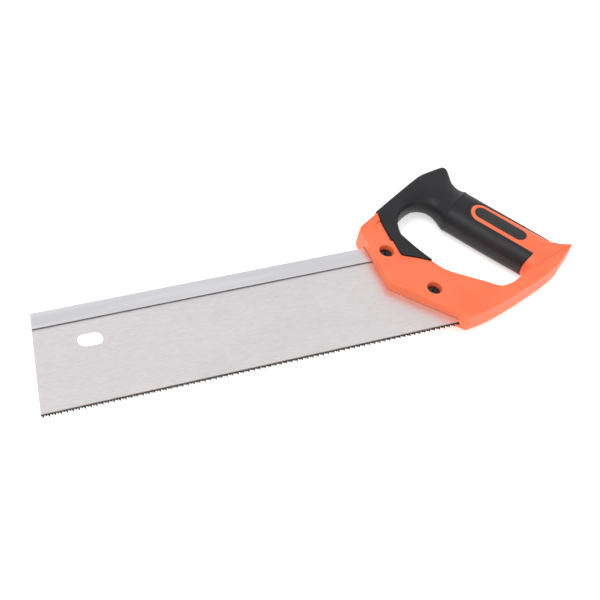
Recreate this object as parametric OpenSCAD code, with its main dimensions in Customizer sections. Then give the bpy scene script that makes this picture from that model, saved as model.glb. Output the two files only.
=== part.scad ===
// Back saw with a folded steel back and a two-material closed handle.
// The saw lies on its left side: X runs from the toe to the handle, Y from the teeth to the back,
// Z through the thickness of the blade.  The origin is the middle of the base of the bounding box.

/* [Blade] */
// Length of the tooth line, toe to heel
blade_len = 305; // [240:1:370]
// Depth of the blade with its back on, tooth tips to the top of the back
blade_depth = 81.5; // [66:0.5:100]
// Thickness of the blade steel
blade_t = 0.8; // [0.6:0.05:1.2]
// Lean of the toe: millimetres of length for each millimetre of depth
toe_lean = 0.234; // [0:0.01:0.5]
// Distance from one tooth tip to the next
tooth_pitch = 1.93; // [1.2:0.01:3.5]
// Depth of a tooth
tooth_depth = 1.8; // [0.8:0.1:2]
// Length of the hanging slot
hang_len = 17; // [12:0.5:24]
// Width of the hanging slot
hang_w = 10; // [6:0.5:14]
// Middle of the hanging slot, measured from the toe's tooth corner
hang_x = 50; // [40:1:80]
// Height of the hanging slot above the tooth tips
hang_y = 51.6; // [25:0.1:54]

/* [Back] */
// Depth of the folded back
back_depth = 13.6; // [10:0.5:18]
// Thickness of the folded back
back_t = 3; // [2.4:0.1:4.5]
// How far the back reaches into the handle
back_entry = 4; // [2:0.5:6]

/* [Handle] */
// Thickness of the handle's flat plate
plate_t = 16; // [13:0.5:20]
// Width of the grip across the hand
grip_w = 34; // [28:0.5:41]
// Thickness of the grip through the hand
grip_t = 25.6; // [21:0.2:31]
// Fullness of the grip's section: 2 is an ellipse, more is squarer
grip_power = 2.3; // [2:0.1:4]
// Thickness of the soft covering
cover_t = 2.2; // [1.5:0.1:2.4]
// Half width of the bare oval on the grip
oval_r = 8.7; // [7:0.1:11]
// Half width of the badge inside the oval
badge_r = 5.15; // [3.5:0.05:6]
// Length of the badge between the centres of its round ends
badge_run = 30.9; // [20:0.1:36]
// Depth of the badge's pocket
badge_depth = 2; // [1:0.1:3]
// How far the badge stands proud of the grip
badge_proud = 0.2; // [0.1:0.05:0.6]

/* [Fasteners] */
// Diameter of the screw shank
screw_d = 4; // [3:0.1:4.8]
// Outside diameter of the sleeve nut's barrel
barrel_d = 6.4; // [6:0.1:7.4]
// Diameter of the screw and nut heads
head_d = 9.6; // [8.6:0.1:11.6]
// Thickness of the heads
head_h = 1.4; // [1.2:0.1:2.4]
// Depth of the counterbore that a head sits in
sink_depth = 4.7; // [4:0.1:5.9]

/* [Fits] */
// Gap round a head in its counterbore, on the radius
head_gap = 0.7; // [0.2:0.1:1]
// Gap round a nut barrel in the handle and in the blade, on the radius
barrel_gap = 0.1; // [0.05:0.05:0.4]
// Gap between a screw shank and the barrel's bore, on the radius
thread_gap = 0.05; // [0.02:0.01:0.1]
// Gap between the blade's inner edge and the end of its slot in the handle
blade_end_gap = 0.5; // [0.2:0.1:1]

/* [Hidden] */
steps = 6;              // straight pieces in each span of a curve
high = 200;             // longer than anything that is cut with it
tiny = 0.01;

// ---- Heights across the handle -------------------------------------------------------------
// The handle's points are given for a blade of base_depth; its upper part rises with the blade.
base_depth = 81.5;
stretch_low = 41;
stretch_high = 84;
lift = blade_depth - base_depth;
function share(y) = min(1, max(0, (y - stretch_low) / (stretch_high - stretch_low)));
function seat(p) = [blade_len + p[0], p[1] + lift * share(p[1])];
function seats(pts) = [for (p = pts) seat(p)];

// ---- Curves --------------------------------------------------------------------------------
function spline_at(a, b, c, d, t) =
    0.5 * (2 * b + (c - a) * t + (2 * a - 5 * b + 4 * c - d) * t * t
        + (3 * b - a - 3 * c + d) * t * t * t);
// Smooth closed curve through every point
function closed_curve(pts) = [
    for (i = [0 : len(pts) - 1])
        for (s = [0 : steps - 1])
            spline_at(pts[(i + len(pts) - 1) % len(pts)], pts[i], pts[(i + 1) % len(pts)],
                pts[(i + 2) % len(pts)], s / steps)];
// Smooth open curve from the first point up to, and without, the last
function open_curve(pts) = [
    for (i = [0 : len(pts) - 2])
        for (s = [0 : steps - 1])
            spline_at(pts[max(0, i - 1)], pts[i], pts[i + 1], pts[min(len(pts) - 1, i + 2)],
                s / steps)];
// Arc that rounds the corner b between a and c
function corner(a, b, c, r) =
    let (u = (a - b) / norm(a - b), v = (c - b) / norm(c - b))
    let (half = acos(u * v) / 2, reach = r / tan(half))
    let (m = b + (u + v) / norm(u + v) * r / sin(half))
    let (p = b + u * reach - m, q = b + v * reach - m)
    let (a0 = atan2(p[1], p[0]), turn = atan2(q[1], q[0]) - a0)
    let (sweep = turn > 180 ? turn - 360 : turn < -180 ? turn + 360 : turn)
    [for (s = [0 : steps]) m + r * [cos(a0 + sweep * s / steps), sin(a0 + sweep * s / steps)]];
function side_normal(a, b) = [b[1] - a[1], a[0] - b[0]] / norm(b - a);
// Corners of an outline moved sideways by d, to the right of its direction of travel
function moved(pts, d) = [
    for (i = [0 : len(pts) - 1])
        let (n1 = side_normal(pts[(i + len(pts) - 1) % len(pts)], pts[i]))
        let (n2 = side_normal(pts[i], pts[(i + 1) % len(pts)]))
        pts[i] + d * (n1 + n2) / (1 + n1 * n2)];
// Points from number i to number j of a list
function span(pts, i, j) = [for (k = [i : j]) pts[k % len(pts)]];

// ---- Handle outline, measured from the heel of the tooth line --------------------------------
front_x = -41.7;                // front edge of the handle
chin = [front_x, 41.9];         // where the front edge turns to run back to the heel corner
heel = [1, -0.8];               // lowest corner of the handle, just past the teeth
nose = [front_x, 94.4];         // top front corner
nose_r = 7;
brow = [27.5, 132.2];           // where the top edge bends towards the horn
brow_r = 40;
horn = [50.3, 136.6];           // tip of the horn
horn_r = 3.2;
horn_back = [50.1, 131.5];
throat = [[48.6, 125], [47.3, 119], [48.2, 111.5], [51.2, 106.8]];
collar = [[54.6, 105.6], [56.2, 103.2]];    // the grip's rear edge starts here
tail_run = [[70.2, 81.6], [83.6, 61.5], [90.6, 51.4], [95.6, 47], [102, 44.6]];
beak = [109.2, 42.8];           // rear point of the handle
heel_run = [[98, 34], [87, 26.5], [65, 17], [35, 6.7], [17, 1.7]];
outer_run = concat(
    [heel, chin, nose, brow, horn, horn_back], throat, collar, tail_run, [beak], heel_run);
throat_at = 5;                  // places in outer_run where its three curves start
tail_at = throat_at + len(throat) + 2;
beak_at = tail_at + len(tail_run) + 1;
function outer_outline(inset) =
    let (p = moved(seats(outer_run), inset))
    concat(
        [p[0], p[1]],
        corner(p[1], p[2], p[3], nose_r - inset),
        corner(p[2], p[3], p[4], brow_r - inset),
        corner(p[3], p[4], p[5], horn_r - inset),
        open_curve(span(p, throat_at, tail_at - 1)),
        [p[tail_at - 1]],
        open_curve(span(p, tail_at, beak_at)),
        open_curve(span(p, beak_at, len(p))));

// Hand opening at the level of the plate's faces
opening_run = [
    [-13.9, 83], [-12.9, 77.5], [-8.2, 65], [-2.8, 53.8], [4, 43.3], [15.5, 34.6], [28, 25.9],
    [34.5, 21], [39.3, 19.9], [48, 21.5], [58, 26.6], [63.8, 33.4], [63.4, 41.3], [45.4, 67.7],
    [31, 88.8], [26.9, 98.4], [21, 106.2], [11.1, 109], [-1.5, 104], [-10.5, 94.4]];

// ---- Grip axis -------------------------------------------------------------------------------
grip_top = seat([41, 99.3]);            // middle of the collar
grip_end = seat([78.3, 44.5]);          // middle of the sleeve's lower end
grip_len = norm(grip_end - grip_top);
grip_way = (grip_end - grip_top) / grip_len;
grip_angle = atan2(grip_way[1], grip_way[0]);
// Point a distance along the grip from its collar, and to the rear of its middle line
function on_grip(along, back) = grip_top + along * grip_way + back * [-grip_way[1], grip_way[0]];
ramp_in = 16;                           // the grip swells from the horn over this length
ramp_out = 16;                          // and dies into the heel over this one
ramp_width = 0.55;                      // share of the grip's width left at those two ends
level_in = 4;                           // full thickness starts this far past the collar
badge_start = 20.5;                     // centre of the badge's upper end, from the collar
strip_run = 10;                         // the rear strip reaches this far past the sleeve
oval_spread = 4.5;                      // the bare oval is this much wider at the strip's end
shelf = plate_t / 2;
crest = grip_t / 2;
rest_z = crest + badge_proud;           // height of the blade's middle plane above the base

module along_grip() {
    translate([grip_top[0], grip_top[1], 0])
        rotate([0, 0, grip_angle])
            children();
}

// Half of the grip's closed section: x across, y through the thickness
function full_section(a, c) = [
    for (i = [0 : 35])
        let (w = cos(10 * i), h = sin(10 * i))
        [sign(w) * pow(abs(w), 2 / grip_power) * a, sign(h) * pow(abs(h), 2 / grip_power) * c]];

// Swollen bar of the grip with ramped ends, inset all round
module grip_bar(inset) {
    a = grip_w / 2 - inset;
    c = crest - inset;
    low = shelf - inset - 1;
    top = crest - inset + 1;
    thin = a * ramp_width;
    along_grip()
        intersection() {
            translate([-ramp_in - 10, 0, 0])
                rotate([90, 0, 90])
                    linear_extrude(grip_len + ramp_in + ramp_out + 20)
                        polygon(full_section(a, c));
            rotate([90, 0, 0])
                linear_extrude(high, center = true)
                    polygon([
                        [-ramp_in, -low], [level_in, -top], [grip_len, -top],
                        [grip_len + ramp_out, -low], [grip_len + ramp_out, low],
                        [grip_len, top], [level_in, top], [-ramp_in, low]]);
            linear_extrude(high, center = true)
                polygon([
                    [-ramp_in, -thin], [0, -a - 1], [grip_len, -a - 1],
                    [grip_len + ramp_out, -thin], [grip_len + ramp_out, thin],
                    [grip_len, a + 1], [0, a + 1], [-ramp_in, thin]]);
        }
}

// Flat plate of the handle, inset all round
module plate(inset) {
    linear_extrude(plate_t - 2 * inset, center = true)
        difference() {
            polygon(outer_outline(inset));
            polygon(closed_curve(moved(seats(opening_run), inset)));
        }
}

module handle_body(inset) {
    plate(inset);
    grip_bar(inset);
}

// ---- Zones of the soft covering ----------------------------------------------------------------
horn_front = [-21.5, 104];
groove = [[-22.8, 96], [-9, 100.3], [1.5, 106.8]];
pad_front = [
    [-23.5, 90], [-23.5, 78], [-22.4, 77], [-22.4, 65.5], [-20, 62], [-14, 59.6], [-1.6, 52.2]];
inside_top = [9, 97];           // two points in the middle of the hand opening
inside_low = [5, 53];
beyond = [60, 160];             // past the top rear of the handle
across = 32;                    // reach past both sides of the grip
overhead = [seat(horn_front)[0], seat(beyond)[1]];

module prism() {
    linear_extrude(high, center = true)
        children();
}

// The bare oval; its rear edge spreads towards the rear point of the handle
module bare_oval() {
    wide = oval_r + oval_spread;
    along_grip() {
        translate([badge_start, 0])
            circle(oval_r, $fn = 64);
        polygon([
            [badge_start, -oval_r], [high, -oval_r], [high, wide],
            [grip_len + strip_run, wide], [badge_start, oval_r]]);
    }
}

module sleeve_zone() {
    difference() {
        polygon([
            on_grip(0, -across), on_grip(0, across), on_grip(grip_len + strip_run, across),
            on_grip(grip_len + strip_run, 0), on_grip(grip_len, 0), on_grip(grip_len, -across)]);
        bare_oval();
    }
}

module horn_zone() {
    polygon(concat(
        [overhead, seat(horn_front)], seats(groove),
        [seat(inside_top), on_grip(0, -across), on_grip(0, across), seat(beyond)]));
}

module pad_zone() {
    polygon(concat(
        seats(groove), [seat(inside_top), seat(inside_low)],
        [for (i = [len(pad_front) - 1 : -1 : 0]) seat(pad_front[i])]));
}

// The three zones as one outline
module covered_zone() {
    difference() {
        polygon(concat(
            [overhead, seat(horn_front), seat(groove[0])], seats(pad_front),
            [seat(inside_low), on_grip(grip_len, -across), on_grip(grip_len, 0),
                on_grip(grip_len + strip_run, 0), on_grip(grip_len + strip_run, across),
                seat(beyond)]));
        bare_oval();
    }
}

// ---- Fasteners ---------------------------------------------------------------------------------
upper_bolt = seat([-31.1, 69.3]);
lower_bolt = seat([-12.7, 29.4]);
seat_z = shelf - sink_depth;            // floor of a counterbore, from the blade's middle plane
slot_across = 1.5;                      // width of the cross recess
slot_deep = head_h * 0.6;
slot_span = head_d * 0.56;

module at_bolt(p) {
    translate([p[0], p[1], 0])
        children();
}

module bolt_hole(p) {
    at_bolt(p) {
        cylinder(h = high, r = barrel_d / 2 + barrel_gap, center = true, $fn = 48);
        for (side = [0, 1])
            mirror([0, 0, side])
                translate([0, 0, seat_z])
                    cylinder(h = high, r = head_d / 2 + head_gap, $fn = 64);
    }
}

module cross_recess(top) {
    for (turn = [0, 90])
        rotate([0, 0, turn])
            translate([-slot_span / 2, -slot_across / 2, top - slot_deep])
                cube([slot_span, slot_across, slot_deep + 1]);
}

module screw(p) {
    color([0.13, 0.13, 0.14])
        place()
            at_bolt(p)
                difference() {
                    union() {
                        translate([0, 0, seat_z])
                            cylinder(h = head_h, r = head_d / 2, $fn = 64);
                        translate([0, 0, -seat_z + 0.5])
                            cylinder(h = 2 * seat_z, r = screw_d / 2, $fn = 48);
                    }
                    cross_recess(seat_z + head_h);
                }
}

module sleeve_nut(p) {
    color([0.13, 0.13, 0.14])
        place()
            at_bolt(p)
                difference() {
                    union() {
                        translate([0, 0, -seat_z - head_h])
                            cylinder(h = head_h, r = head_d / 2, $fn = 64);
                        translate([0, 0, -seat_z - tiny])
                            cylinder(h = 2 * seat_z - 0.4, r = barrel_d / 2, $fn = 48);
                    }
                    translate([0, 0, -seat_z])
                        cylinder(h = high, r = screw_d / 2 + thread_gap, $fn = 48);
                    mirror([0, 0, 1])
                        cross_recess(seat_z + head_h);
                }
}

// ---- Blade and back ----------------------------------------------------------------------------
fold_t = (back_t - blade_t) / 2;        // sheet thickness of the folded back
blade_stop = 5.2;                       // the blade's edge ends this far before the heel
tooth_start = blade_len - blade_stop - 0.5;
tooth_count = floor(tooth_start / tooth_pitch);
tang = [[9, 11], [-4, 41], [-18, 58], [-22, 74]];

function teeth() = [
    for (i = [0 : tooth_count - 1])
        for (s = [0, 1])
            [tooth_start - (i + s * 0.5) * tooth_pitch, s == 0 ? 0 : tooth_depth]];

// Buried end of the blade or of its slot, from the points start, moved towards the grip by gap
function buried(start, gap) = [for (p = concat(start, tang)) seat(p) + [gap, 0]];
blade_top = blade_depth - fold_t;

module blade_outline() {
    rear = buried([[-blade_stop, tooth_depth], [-blade_stop, 7.5]], 0);
    polygon(concat(
        teeth(),
        [[0, 0], [toe_lean * blade_top, blade_top], [rear[len(rear) - 1][0], blade_top]],
        [for (i = [len(rear) - 1 : -1 : 0]) rear[i]]));
}

module blade_slot() {
    rear = buried([[-0.5, tooth_depth]], blade_end_gap);
    front = blade_len + front_x - 1;
    polygon(concat(
        [[front, -1], [front, blade_top], [rear[len(rear) - 1][0], blade_top]],
        [for (i = [len(rear) - 1 : -1 : 0]) rear[i]],
        [[rear[0][0], -1]]));
}

module hang_slot() {
    for (side = [-1, 1])
        translate([hang_x + side * (hang_len - hang_w) / 2, hang_y])
            circle(hang_w / 2, $fn = 64);
    translate([hang_x - (hang_len - hang_w) / 2, hang_y - hang_w / 2])
        square([hang_len - hang_w, hang_w]);
}

module back_solid(from, to) {
    translate([from, 0, 0])
        rotate([90, 0, 90])
            linear_extrude(to - from) {
                translate([blade_depth - back_depth, -back_t / 2])
                    square([back_depth - back_t / 2, back_t]);
                translate([blade_depth - back_t / 2, 0])
                    circle(back_t / 2, $fn = 48);
            }
}

// ---- Frame: bounding box centred on the origin, base at zero -------------------------------------
outline = outer_outline(0);
x_mid = max([for (p = outline) p[0]]) / 2;
y_mid = (max([for (p = outline) p[1]]) + min([for (p = outline) p[1]])) / 2;

module place() {
    translate([-x_mid, -y_mid, rest_z])
        children();
}

// ---- Pieces --------------------------------------------------------------------------------------
module saw_blade() {
    color([0.87, 0.86, 0.85])
        place()
            linear_extrude(blade_t, center = true)
                difference() {
                    blade_outline();
                    hang_slot();
                    for (p = [upper_bolt, lower_bolt])
                        translate(p)
                            circle(barrel_d / 2 + barrel_gap, $fn = 48);
                }
}

module blade_back() {
    end = blade_len + front_x + back_entry;
    color([0.89, 0.88, 0.9])
        place()
            difference() {
                back_solid(0, end);
                translate([0, 0, -blade_t / 2])
                    cube([end, blade_depth - fold_t, blade_t]);
                prism()
                    polygon([
                        [-1, 0], [0, 0], [toe_lean * (blade_depth + 1), blade_depth + 1],
                        [-1, blade_depth + 1]]);
            }
}

module badge_shape(depth) {
    translate([0, 0, crest - badge_depth])
        linear_extrude(depth)
            along_grip() {
                for (run = [0, badge_run])
                    translate([badge_start + run, 0])
                        circle(badge_r, $fn = 64);
                translate([badge_start, -badge_r])
                    square([badge_run, 2 * badge_r]);
            }
}

module badge(side) {
    color([0.16, 0.15, 0.17])
        place()
            mirror([0, 0, side])
                badge_shape(badge_depth + badge_proud);
}

module handle_core() {
    color([1, 0.42, 0.27])
        place()
            difference() {
                union() {
                    difference() {
                        handle_body(0);
                        prism()
                            covered_zone();
                    }
                    handle_body(cover_t);
                }
                linear_extrude(blade_t, center = true)
                    blade_slot();
                back_solid(0, blade_len + front_x + back_entry);
                bolt_hole(upper_bolt);
                bolt_hole(lower_bolt);
                for (side = [0, 1])
                    mirror([0, 0, side])
                        badge_shape(high);
            }
}

module covering() {
    color([0.21, 0.2, 0.22])
        place()
            difference() {
                intersection() {
                    handle_body(0);
                    prism()
                        children();
                }
                handle_body(cover_t);
            }
}

module grip_sleeve() {
    covering()
        sleeve_zone();
}

module horn_cover() {
    covering()
        horn_zone();
}

module guard_pad() {
    covering()
        pad_zone();
}

module right_badge() {
    badge(0);
}

module left_badge() {
    badge(1);
}

module upper_screw() {
    screw(upper_bolt);
}

module lower_screw() {
    screw(lower_bolt);
}

module upper_sleeve_nut() {
    sleeve_nut(upper_bolt);
}

module lower_sleeve_nut() {
    sleeve_nut(lower_bolt);
}

saw_blade();
blade_back();
handle_core();
grip_sleeve();
horn_cover();
guard_pad();
right_badge();
left_badge();
upper_screw();
lower_screw();
upper_sleeve_nut();
lower_sleeve_nut();
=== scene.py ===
"""Looks of a back saw with a folded steel back and a two-material closed handle.

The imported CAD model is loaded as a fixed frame.  Every piece that shows is a new surface, worked out
on a grid of two parameters and placed from the boxes of the CAD nodes that it stands for.

Lengths below are millimetres in the saw's own axes: x runs along the tooth line, y from the tooth tips
to the back, z through the thickness from the blade's middle plane.  `Place` turns them into the frame's
metres.  Points of the handle are measured from the heel end of the tooth line.
"""

from __future__ import annotations

import sys
import logging
from collections.abc import Callable
from dataclasses import dataclass, field
from enum import Enum

import bmesh
import bpy
import numpy as np
from mathutils import Matrix, Vector


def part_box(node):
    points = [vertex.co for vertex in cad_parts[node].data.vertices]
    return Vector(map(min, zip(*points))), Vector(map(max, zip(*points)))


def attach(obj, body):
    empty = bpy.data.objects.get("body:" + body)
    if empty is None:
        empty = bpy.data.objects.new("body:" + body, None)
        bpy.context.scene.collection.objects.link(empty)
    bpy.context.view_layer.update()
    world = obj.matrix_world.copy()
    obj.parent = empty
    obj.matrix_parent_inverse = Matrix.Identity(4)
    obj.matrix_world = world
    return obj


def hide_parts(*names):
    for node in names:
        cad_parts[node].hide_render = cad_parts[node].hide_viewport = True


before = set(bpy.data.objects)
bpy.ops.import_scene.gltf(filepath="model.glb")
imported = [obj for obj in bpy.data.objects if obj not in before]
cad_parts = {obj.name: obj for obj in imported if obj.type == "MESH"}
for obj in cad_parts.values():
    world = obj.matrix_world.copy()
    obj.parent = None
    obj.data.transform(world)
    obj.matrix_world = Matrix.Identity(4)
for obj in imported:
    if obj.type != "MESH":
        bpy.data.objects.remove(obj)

LOG = logging.getLogger("back_saw")
MM = 0.001
Array = np.ndarray
Socket = bpy.types.NodeSocket

# Sizes that several pieces share.  Bolts and hollow are measured from the heel end of the tooth line.
BOLTS = ((-31.1, 69.3), (-12.7, 29.4))
BACK_LIP = 67.9
TOE_LEAN = 0.234
HOLLOW_CENTRE = (-20.5, 87.0)
FINGER_SWELL = 0.45


# ---------------------------------------------------------------- curves in the plane


def catmull(points: Array, steps: int, closed: bool) -> Array:
    """Smooth curve through points: on each span a cubic whose slopes are half the neighbours' difference.

    Args:
        points: The points to pass, one per row.
        steps: Straight pieces in each span.
        closed: Whether the last point runs on to the first.

    Returns:
        The curve's points; an open curve keeps its last point.
    """
    p = np.asarray(points, float)
    n = len(p)
    i = np.arange(n if closed else n - 1)
    if closed:
        a, b, c, d = p[(i - 1) % n], p[i], p[(i + 1) % n], p[(i + 2) % n]
    else:
        a, b, c, d = p[np.maximum(i - 1, 0)], p[i], p[i + 1], p[np.minimum(i + 2, n - 1)]
    t = (np.arange(steps) / steps)[None, :, None]
    a, b, c, d = (q[:, None, :] for q in (a, b, c, d))
    curve = 0.5 * (
        2 * b + (c - a) * t + (2 * a - 5 * b + 4 * c - d) * t**2 + (3 * b - a - 3 * c + d) * t**3
    )
    curve = curve.reshape(-1, p.shape[1])
    return curve if closed else np.vstack([curve, p[-1:]])


def rounded_corner(a: Array, b: Array, c: Array, radius: float, steps: int = 8) -> Array:
    """Arc of the given radius that touches the lines from b to a and from b to c.

    Args:
        a: Point before the corner.
        b: The corner.
        c: Point after the corner.
        radius: Radius of the arc.
        steps: Straight pieces in the arc.

    Returns:
        The arc's points, from the side of a to the side of c.
    """
    a, b, c = (np.asarray(q, float) for q in (a, b, c))
    u, v = (a - b) / np.linalg.norm(a - b), (c - b) / np.linalg.norm(c - b)
    half = np.arccos(np.clip(u @ v, -1, 1)) / 2
    middle = b + (u + v) / np.linalg.norm(u + v) * radius / np.sin(half)
    start = b + u * radius / np.tan(half) - middle
    end = b + v * radius / np.tan(half) - middle
    first = np.arctan2(start[1], start[0])
    turn = (np.arctan2(end[1], end[0]) - first + np.pi) % (2 * np.pi) - np.pi
    angle = first + turn * np.arange(steps + 1) / steps
    return middle + radius * np.stack([np.cos(angle), np.sin(angle)], 1)


def blunted(before: Array, corner: tuple, after: Array, radius: float, steps: int = 8) -> Array:
    """Joins two curves that meet in a sharp corner by an arc, and drops what the arc cuts off.

    Args:
        before: Curve that leads to the corner.
        corner: The corner.
        after: Curve that leaves the corner.
        radius: Radius of the arc.
        steps: Straight pieces in the arc.

    Returns:
        The curve before, the arc and the curve after.
    """
    corner = np.array(corner, float)
    for _ in range(3):
        u = (before[-1] - corner) / np.linalg.norm(before[-1] - corner)
        v = (after[0] - corner) / np.linalg.norm(after[0] - corner)
        reach = radius / np.tan(np.arccos(np.clip(u @ v, -1, 1)) / 2) + 0.3
        before = before[np.linalg.norm(before - corner, axis=1) > reach]
        after = after[np.linalg.norm(after - corner, axis=1) > reach]
    return np.vstack([before, rounded_corner(before[-1], corner, after[0], radius, steps), after])


def arc_lengths(points: Array) -> Array:
    """Distance of each point of an open line from its first point, along the line."""
    return np.concatenate([[0.0], np.cumsum(np.linalg.norm(np.diff(points, axis=0), axis=1))])


def smooth_step(x: Array) -> Array:
    """Eases from 0 to 1 as x goes from 0 to 1: 3x squared less 2x cubed."""
    x = np.clip(x, 0, 1)
    return x * x * (3 - 2 * x)


def distance_to_line(points: Array, line: Array) -> Array:
    """Shortest distance in the plane from each point to an open line.

    Args:
        points: Any array whose last axis holds x and y first.
        line: The line's points, one per row.

    Returns:
        The distances, in the shape of points without its last axis.
    """
    p = points[..., None, :2]
    a, b = line[:-1], line[1:]
    along = b - a
    share = np.clip(((p - a) * along).sum(-1) / (along * along).sum(-1), 0, 1)
    return np.linalg.norm(p - (a + share[..., None] * along), axis=-1).min(-1)


def signed_distance(points: Array, polygon: Array) -> Array:
    """Distance in the plane to a closed polygon's outline, negative inside it.

    Args:
        points: Any array whose last axis holds x and y first.
        polygon: The polygon's corners, one per row.

    Returns:
        The signed distances.
    """
    ring = np.vstack([polygon, polygon[:1]])
    a, b = ring[:-1], ring[1:]
    x, y = points[..., 0, None], points[..., 1, None]
    crosses = (a[:, 1] > y) != (b[:, 1] > y)
    rise = np.where(b[:, 1] == a[:, 1], 1e-12, b[:, 1] - a[:, 1])
    hits = crosses & (x < (b[:, 0] - a[:, 0]) * (y - a[:, 1]) / rise + a[:, 0])
    inside = hits.sum(-1) % 2 == 1
    return np.where(inside, -1, 1) * distance_to_line(points, ring)


def eased_places(count: int, edge: float, total: float) -> Array:
    """Places from 0 to 1 that crowd towards both ends, for a rim that needs fine rows.

    Args:
        count: Number of places in the plain middle.
        edge: Width of the crowded stretch, in the same unit as total.
        total: The whole length.

    Returns:
        The places, increasing from 0 to 1.
    """
    near = edge * np.array([0, 0.04, 0.1, 0.18, 0.28, 0.42, 0.6, 0.8, 1.0])
    far = total - near[::-1]
    middle = np.linspace(near[-1], far[0], count + 2)[1:-1]
    return np.concatenate([near, middle, far]) / total


# ---------------------------------------------------------------- meshes


def grid_faces(rows: int, columns: int, wrap_rows: bool = False, wrap_columns: bool = False) -> Array:
    """Quads of a grid of vertices numbered row by row.

    Args:
        rows: Number of rows of vertices.
        columns: Number of vertices in a row.
        wrap_rows: Whether the last row joins the first.
        wrap_columns: Whether each row is a closed loop.

    Returns:
        Four vertex numbers per quad.
    """
    r = np.arange(rows if wrap_rows else rows - 1)[:, None]
    c = np.arange(columns if wrap_columns else columns - 1)[None, :]
    r2, c2 = (r + 1) % rows, (c + 1) % columns
    corners = [r * columns + c, r * columns + c2, r2 * columns + c2, r2 * columns + c]
    return np.stack([np.broadcast_to(q, (r.shape[0], c.shape[1])) for q in corners], -1).reshape(-1, 4)


def new_piece(name: str, points: Array, faces: Array | list, welded: float = 0.0) -> bpy.types.Object:
    """Puts points and faces into a mesh object in the scene, with its normals pointing out.

    Args:
        name: Name of the piece.
        points: Vertex places in the frame, in metres.
        faces: Vertex numbers, an array of quads or a list of faces.
        welded: Distance under which vertices are merged, in metres; 0 merges none.

    Returns:
        The new object, at the origin.
    """
    mesh = bpy.data.meshes.new(name)
    rows = faces.tolist() if isinstance(faces, np.ndarray) else faces
    mesh.from_pydata(np.asarray(points, float).reshape(-1, 3).tolist(), [], rows)
    piece = bpy.data.objects.new(name, mesh)
    bpy.context.scene.collection.objects.link(piece)
    work = bmesh.new()
    work.from_mesh(mesh)
    if welded > 0:
        bmesh.ops.remove_doubles(work, verts=work.verts, dist=welded)
        bmesh.ops.dissolve_degenerate(work, edges=work.edges, dist=welded * 0.5)
    bmesh.ops.recalc_face_normals(work, faces=work.faces)
    if work.calc_volume(signed=True) < 0:
        bmesh.ops.reverse_faces(work, faces=work.faces)
    work.to_mesh(mesh)
    work.free()
    mesh.shade_smooth()
    return piece


def closed_sheet(outer: Array, inner: Array) -> tuple[Array, Array]:
    """Closes two matching grids into one shell: both skins, and walls that join their four borders.

    Args:
        outer: Rows by columns by 3, one skin.
        inner: The other skin, in the same order.

    Returns:
        Vertex places and quads.
    """
    rows, columns = outer.shape[:2]
    skin = grid_faces(rows, columns)
    size = rows * columns
    number = np.arange(size).reshape(rows, columns)
    border = np.concatenate([number[0, :-1], number[:-1, -1], number[-1, :0:-1], number[:0:-1, 0]])
    after = np.roll(border, -1)
    walls = np.stack([border, after, after + size, border + size], 1)
    faces = np.vstack([skin[:, ::-1], skin + size, walls])
    return np.concatenate([outer.reshape(-1, 3), inner.reshape(-1, 3)]), faces


def turned(profile: Array, centre: Array, sides: int = 64) -> tuple[Array, list]:
    """Solid of revolution about an axis along z: each profile point is carried round a circle.

    Args:
        profile: Radius and height per row; the first and last radius are 0 and become poles.
        centre: x and y of the axis.
        sides: Straight pieces round the circle.

    Returns:
        Vertex places and faces.
    """
    angle = 2 * np.pi * np.arange(sides) / sides
    body = profile[1:-1]
    ring = np.stack(
        [
            centre[0] + body[:, :1] * np.cos(angle),
            centre[1] + body[:, :1] * np.sin(angle),
            np.broadcast_to(body[:, 1:2], (len(body), sides)),
        ],
        -1,
    )
    poles = np.array([[centre[0], centre[1], profile[0, 1]], [centre[0], centre[1], profile[-1, 1]]])
    count = len(body) * sides
    around = np.arange(sides)
    nxt = (around + 1) % sides
    top = count - sides
    faces = grid_faces(len(body), sides, wrap_columns=True).tolist()
    faces += np.stack([np.full(sides, count), nxt, around], 1).tolist()
    faces += np.stack([np.full(sides, count + 1), top + around, top + nxt], 1).tolist()
    return np.vstack([ring.reshape(-1, 3), poles]), faces


def grid_normals(points: Array) -> Array:
    """Unit normals of a grid, from the cross product of its differences along rows and columns.

    Args:
        points: Rows by columns by 3.

    Returns:
        Unit vectors in the grid's shape.
    """
    normal = np.cross(np.gradient(points, axis=0), np.gradient(points, axis=1))
    length = np.linalg.norm(normal, axis=-1, keepdims=True)
    return normal / np.maximum(length, 1e-12)


def cut_away(piece: bpy.types.Object, cutter: bpy.types.Object) -> None:
    """Takes the cutter's room out of the piece for good, and removes the cutter.

    Args:
        piece: The piece that loses material.
        cutter: A closed mesh.
    """
    cut = piece.modifiers.new("cut", "BOOLEAN")
    cut.operation = "DIFFERENCE"
    cut.solver = "MANIFOLD"
    cut.object = cutter
    bake_modifiers(piece)
    old = cutter.data
    bpy.data.objects.remove(cutter)
    bpy.data.meshes.remove(old)


def bake_modifiers(piece: bpy.types.Object) -> None:
    """Replaces the piece's mesh by the result of its modifiers, and removes them.

    Args:
        piece: The piece.
    """
    graph = bpy.context.evaluated_depsgraph_get()
    made = bpy.data.meshes.new_from_object(piece.evaluated_get(graph))
    old = piece.data
    piece.modifiers.clear()
    piece.data = made
    made.name = piece.name
    bpy.data.meshes.remove(old)


def sharpen(piece: bpy.types.Object, angle: float = 40.0) -> None:
    """Shades the piece smooth, with hard edges where two faces meet at more than the angle in degrees."""
    piece.data.shade_smooth()
    piece.data.set_sharp_from_angle(angle=np.radians(angle))


# ---------------------------------------------------------------- place of the saw in the frame


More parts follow.
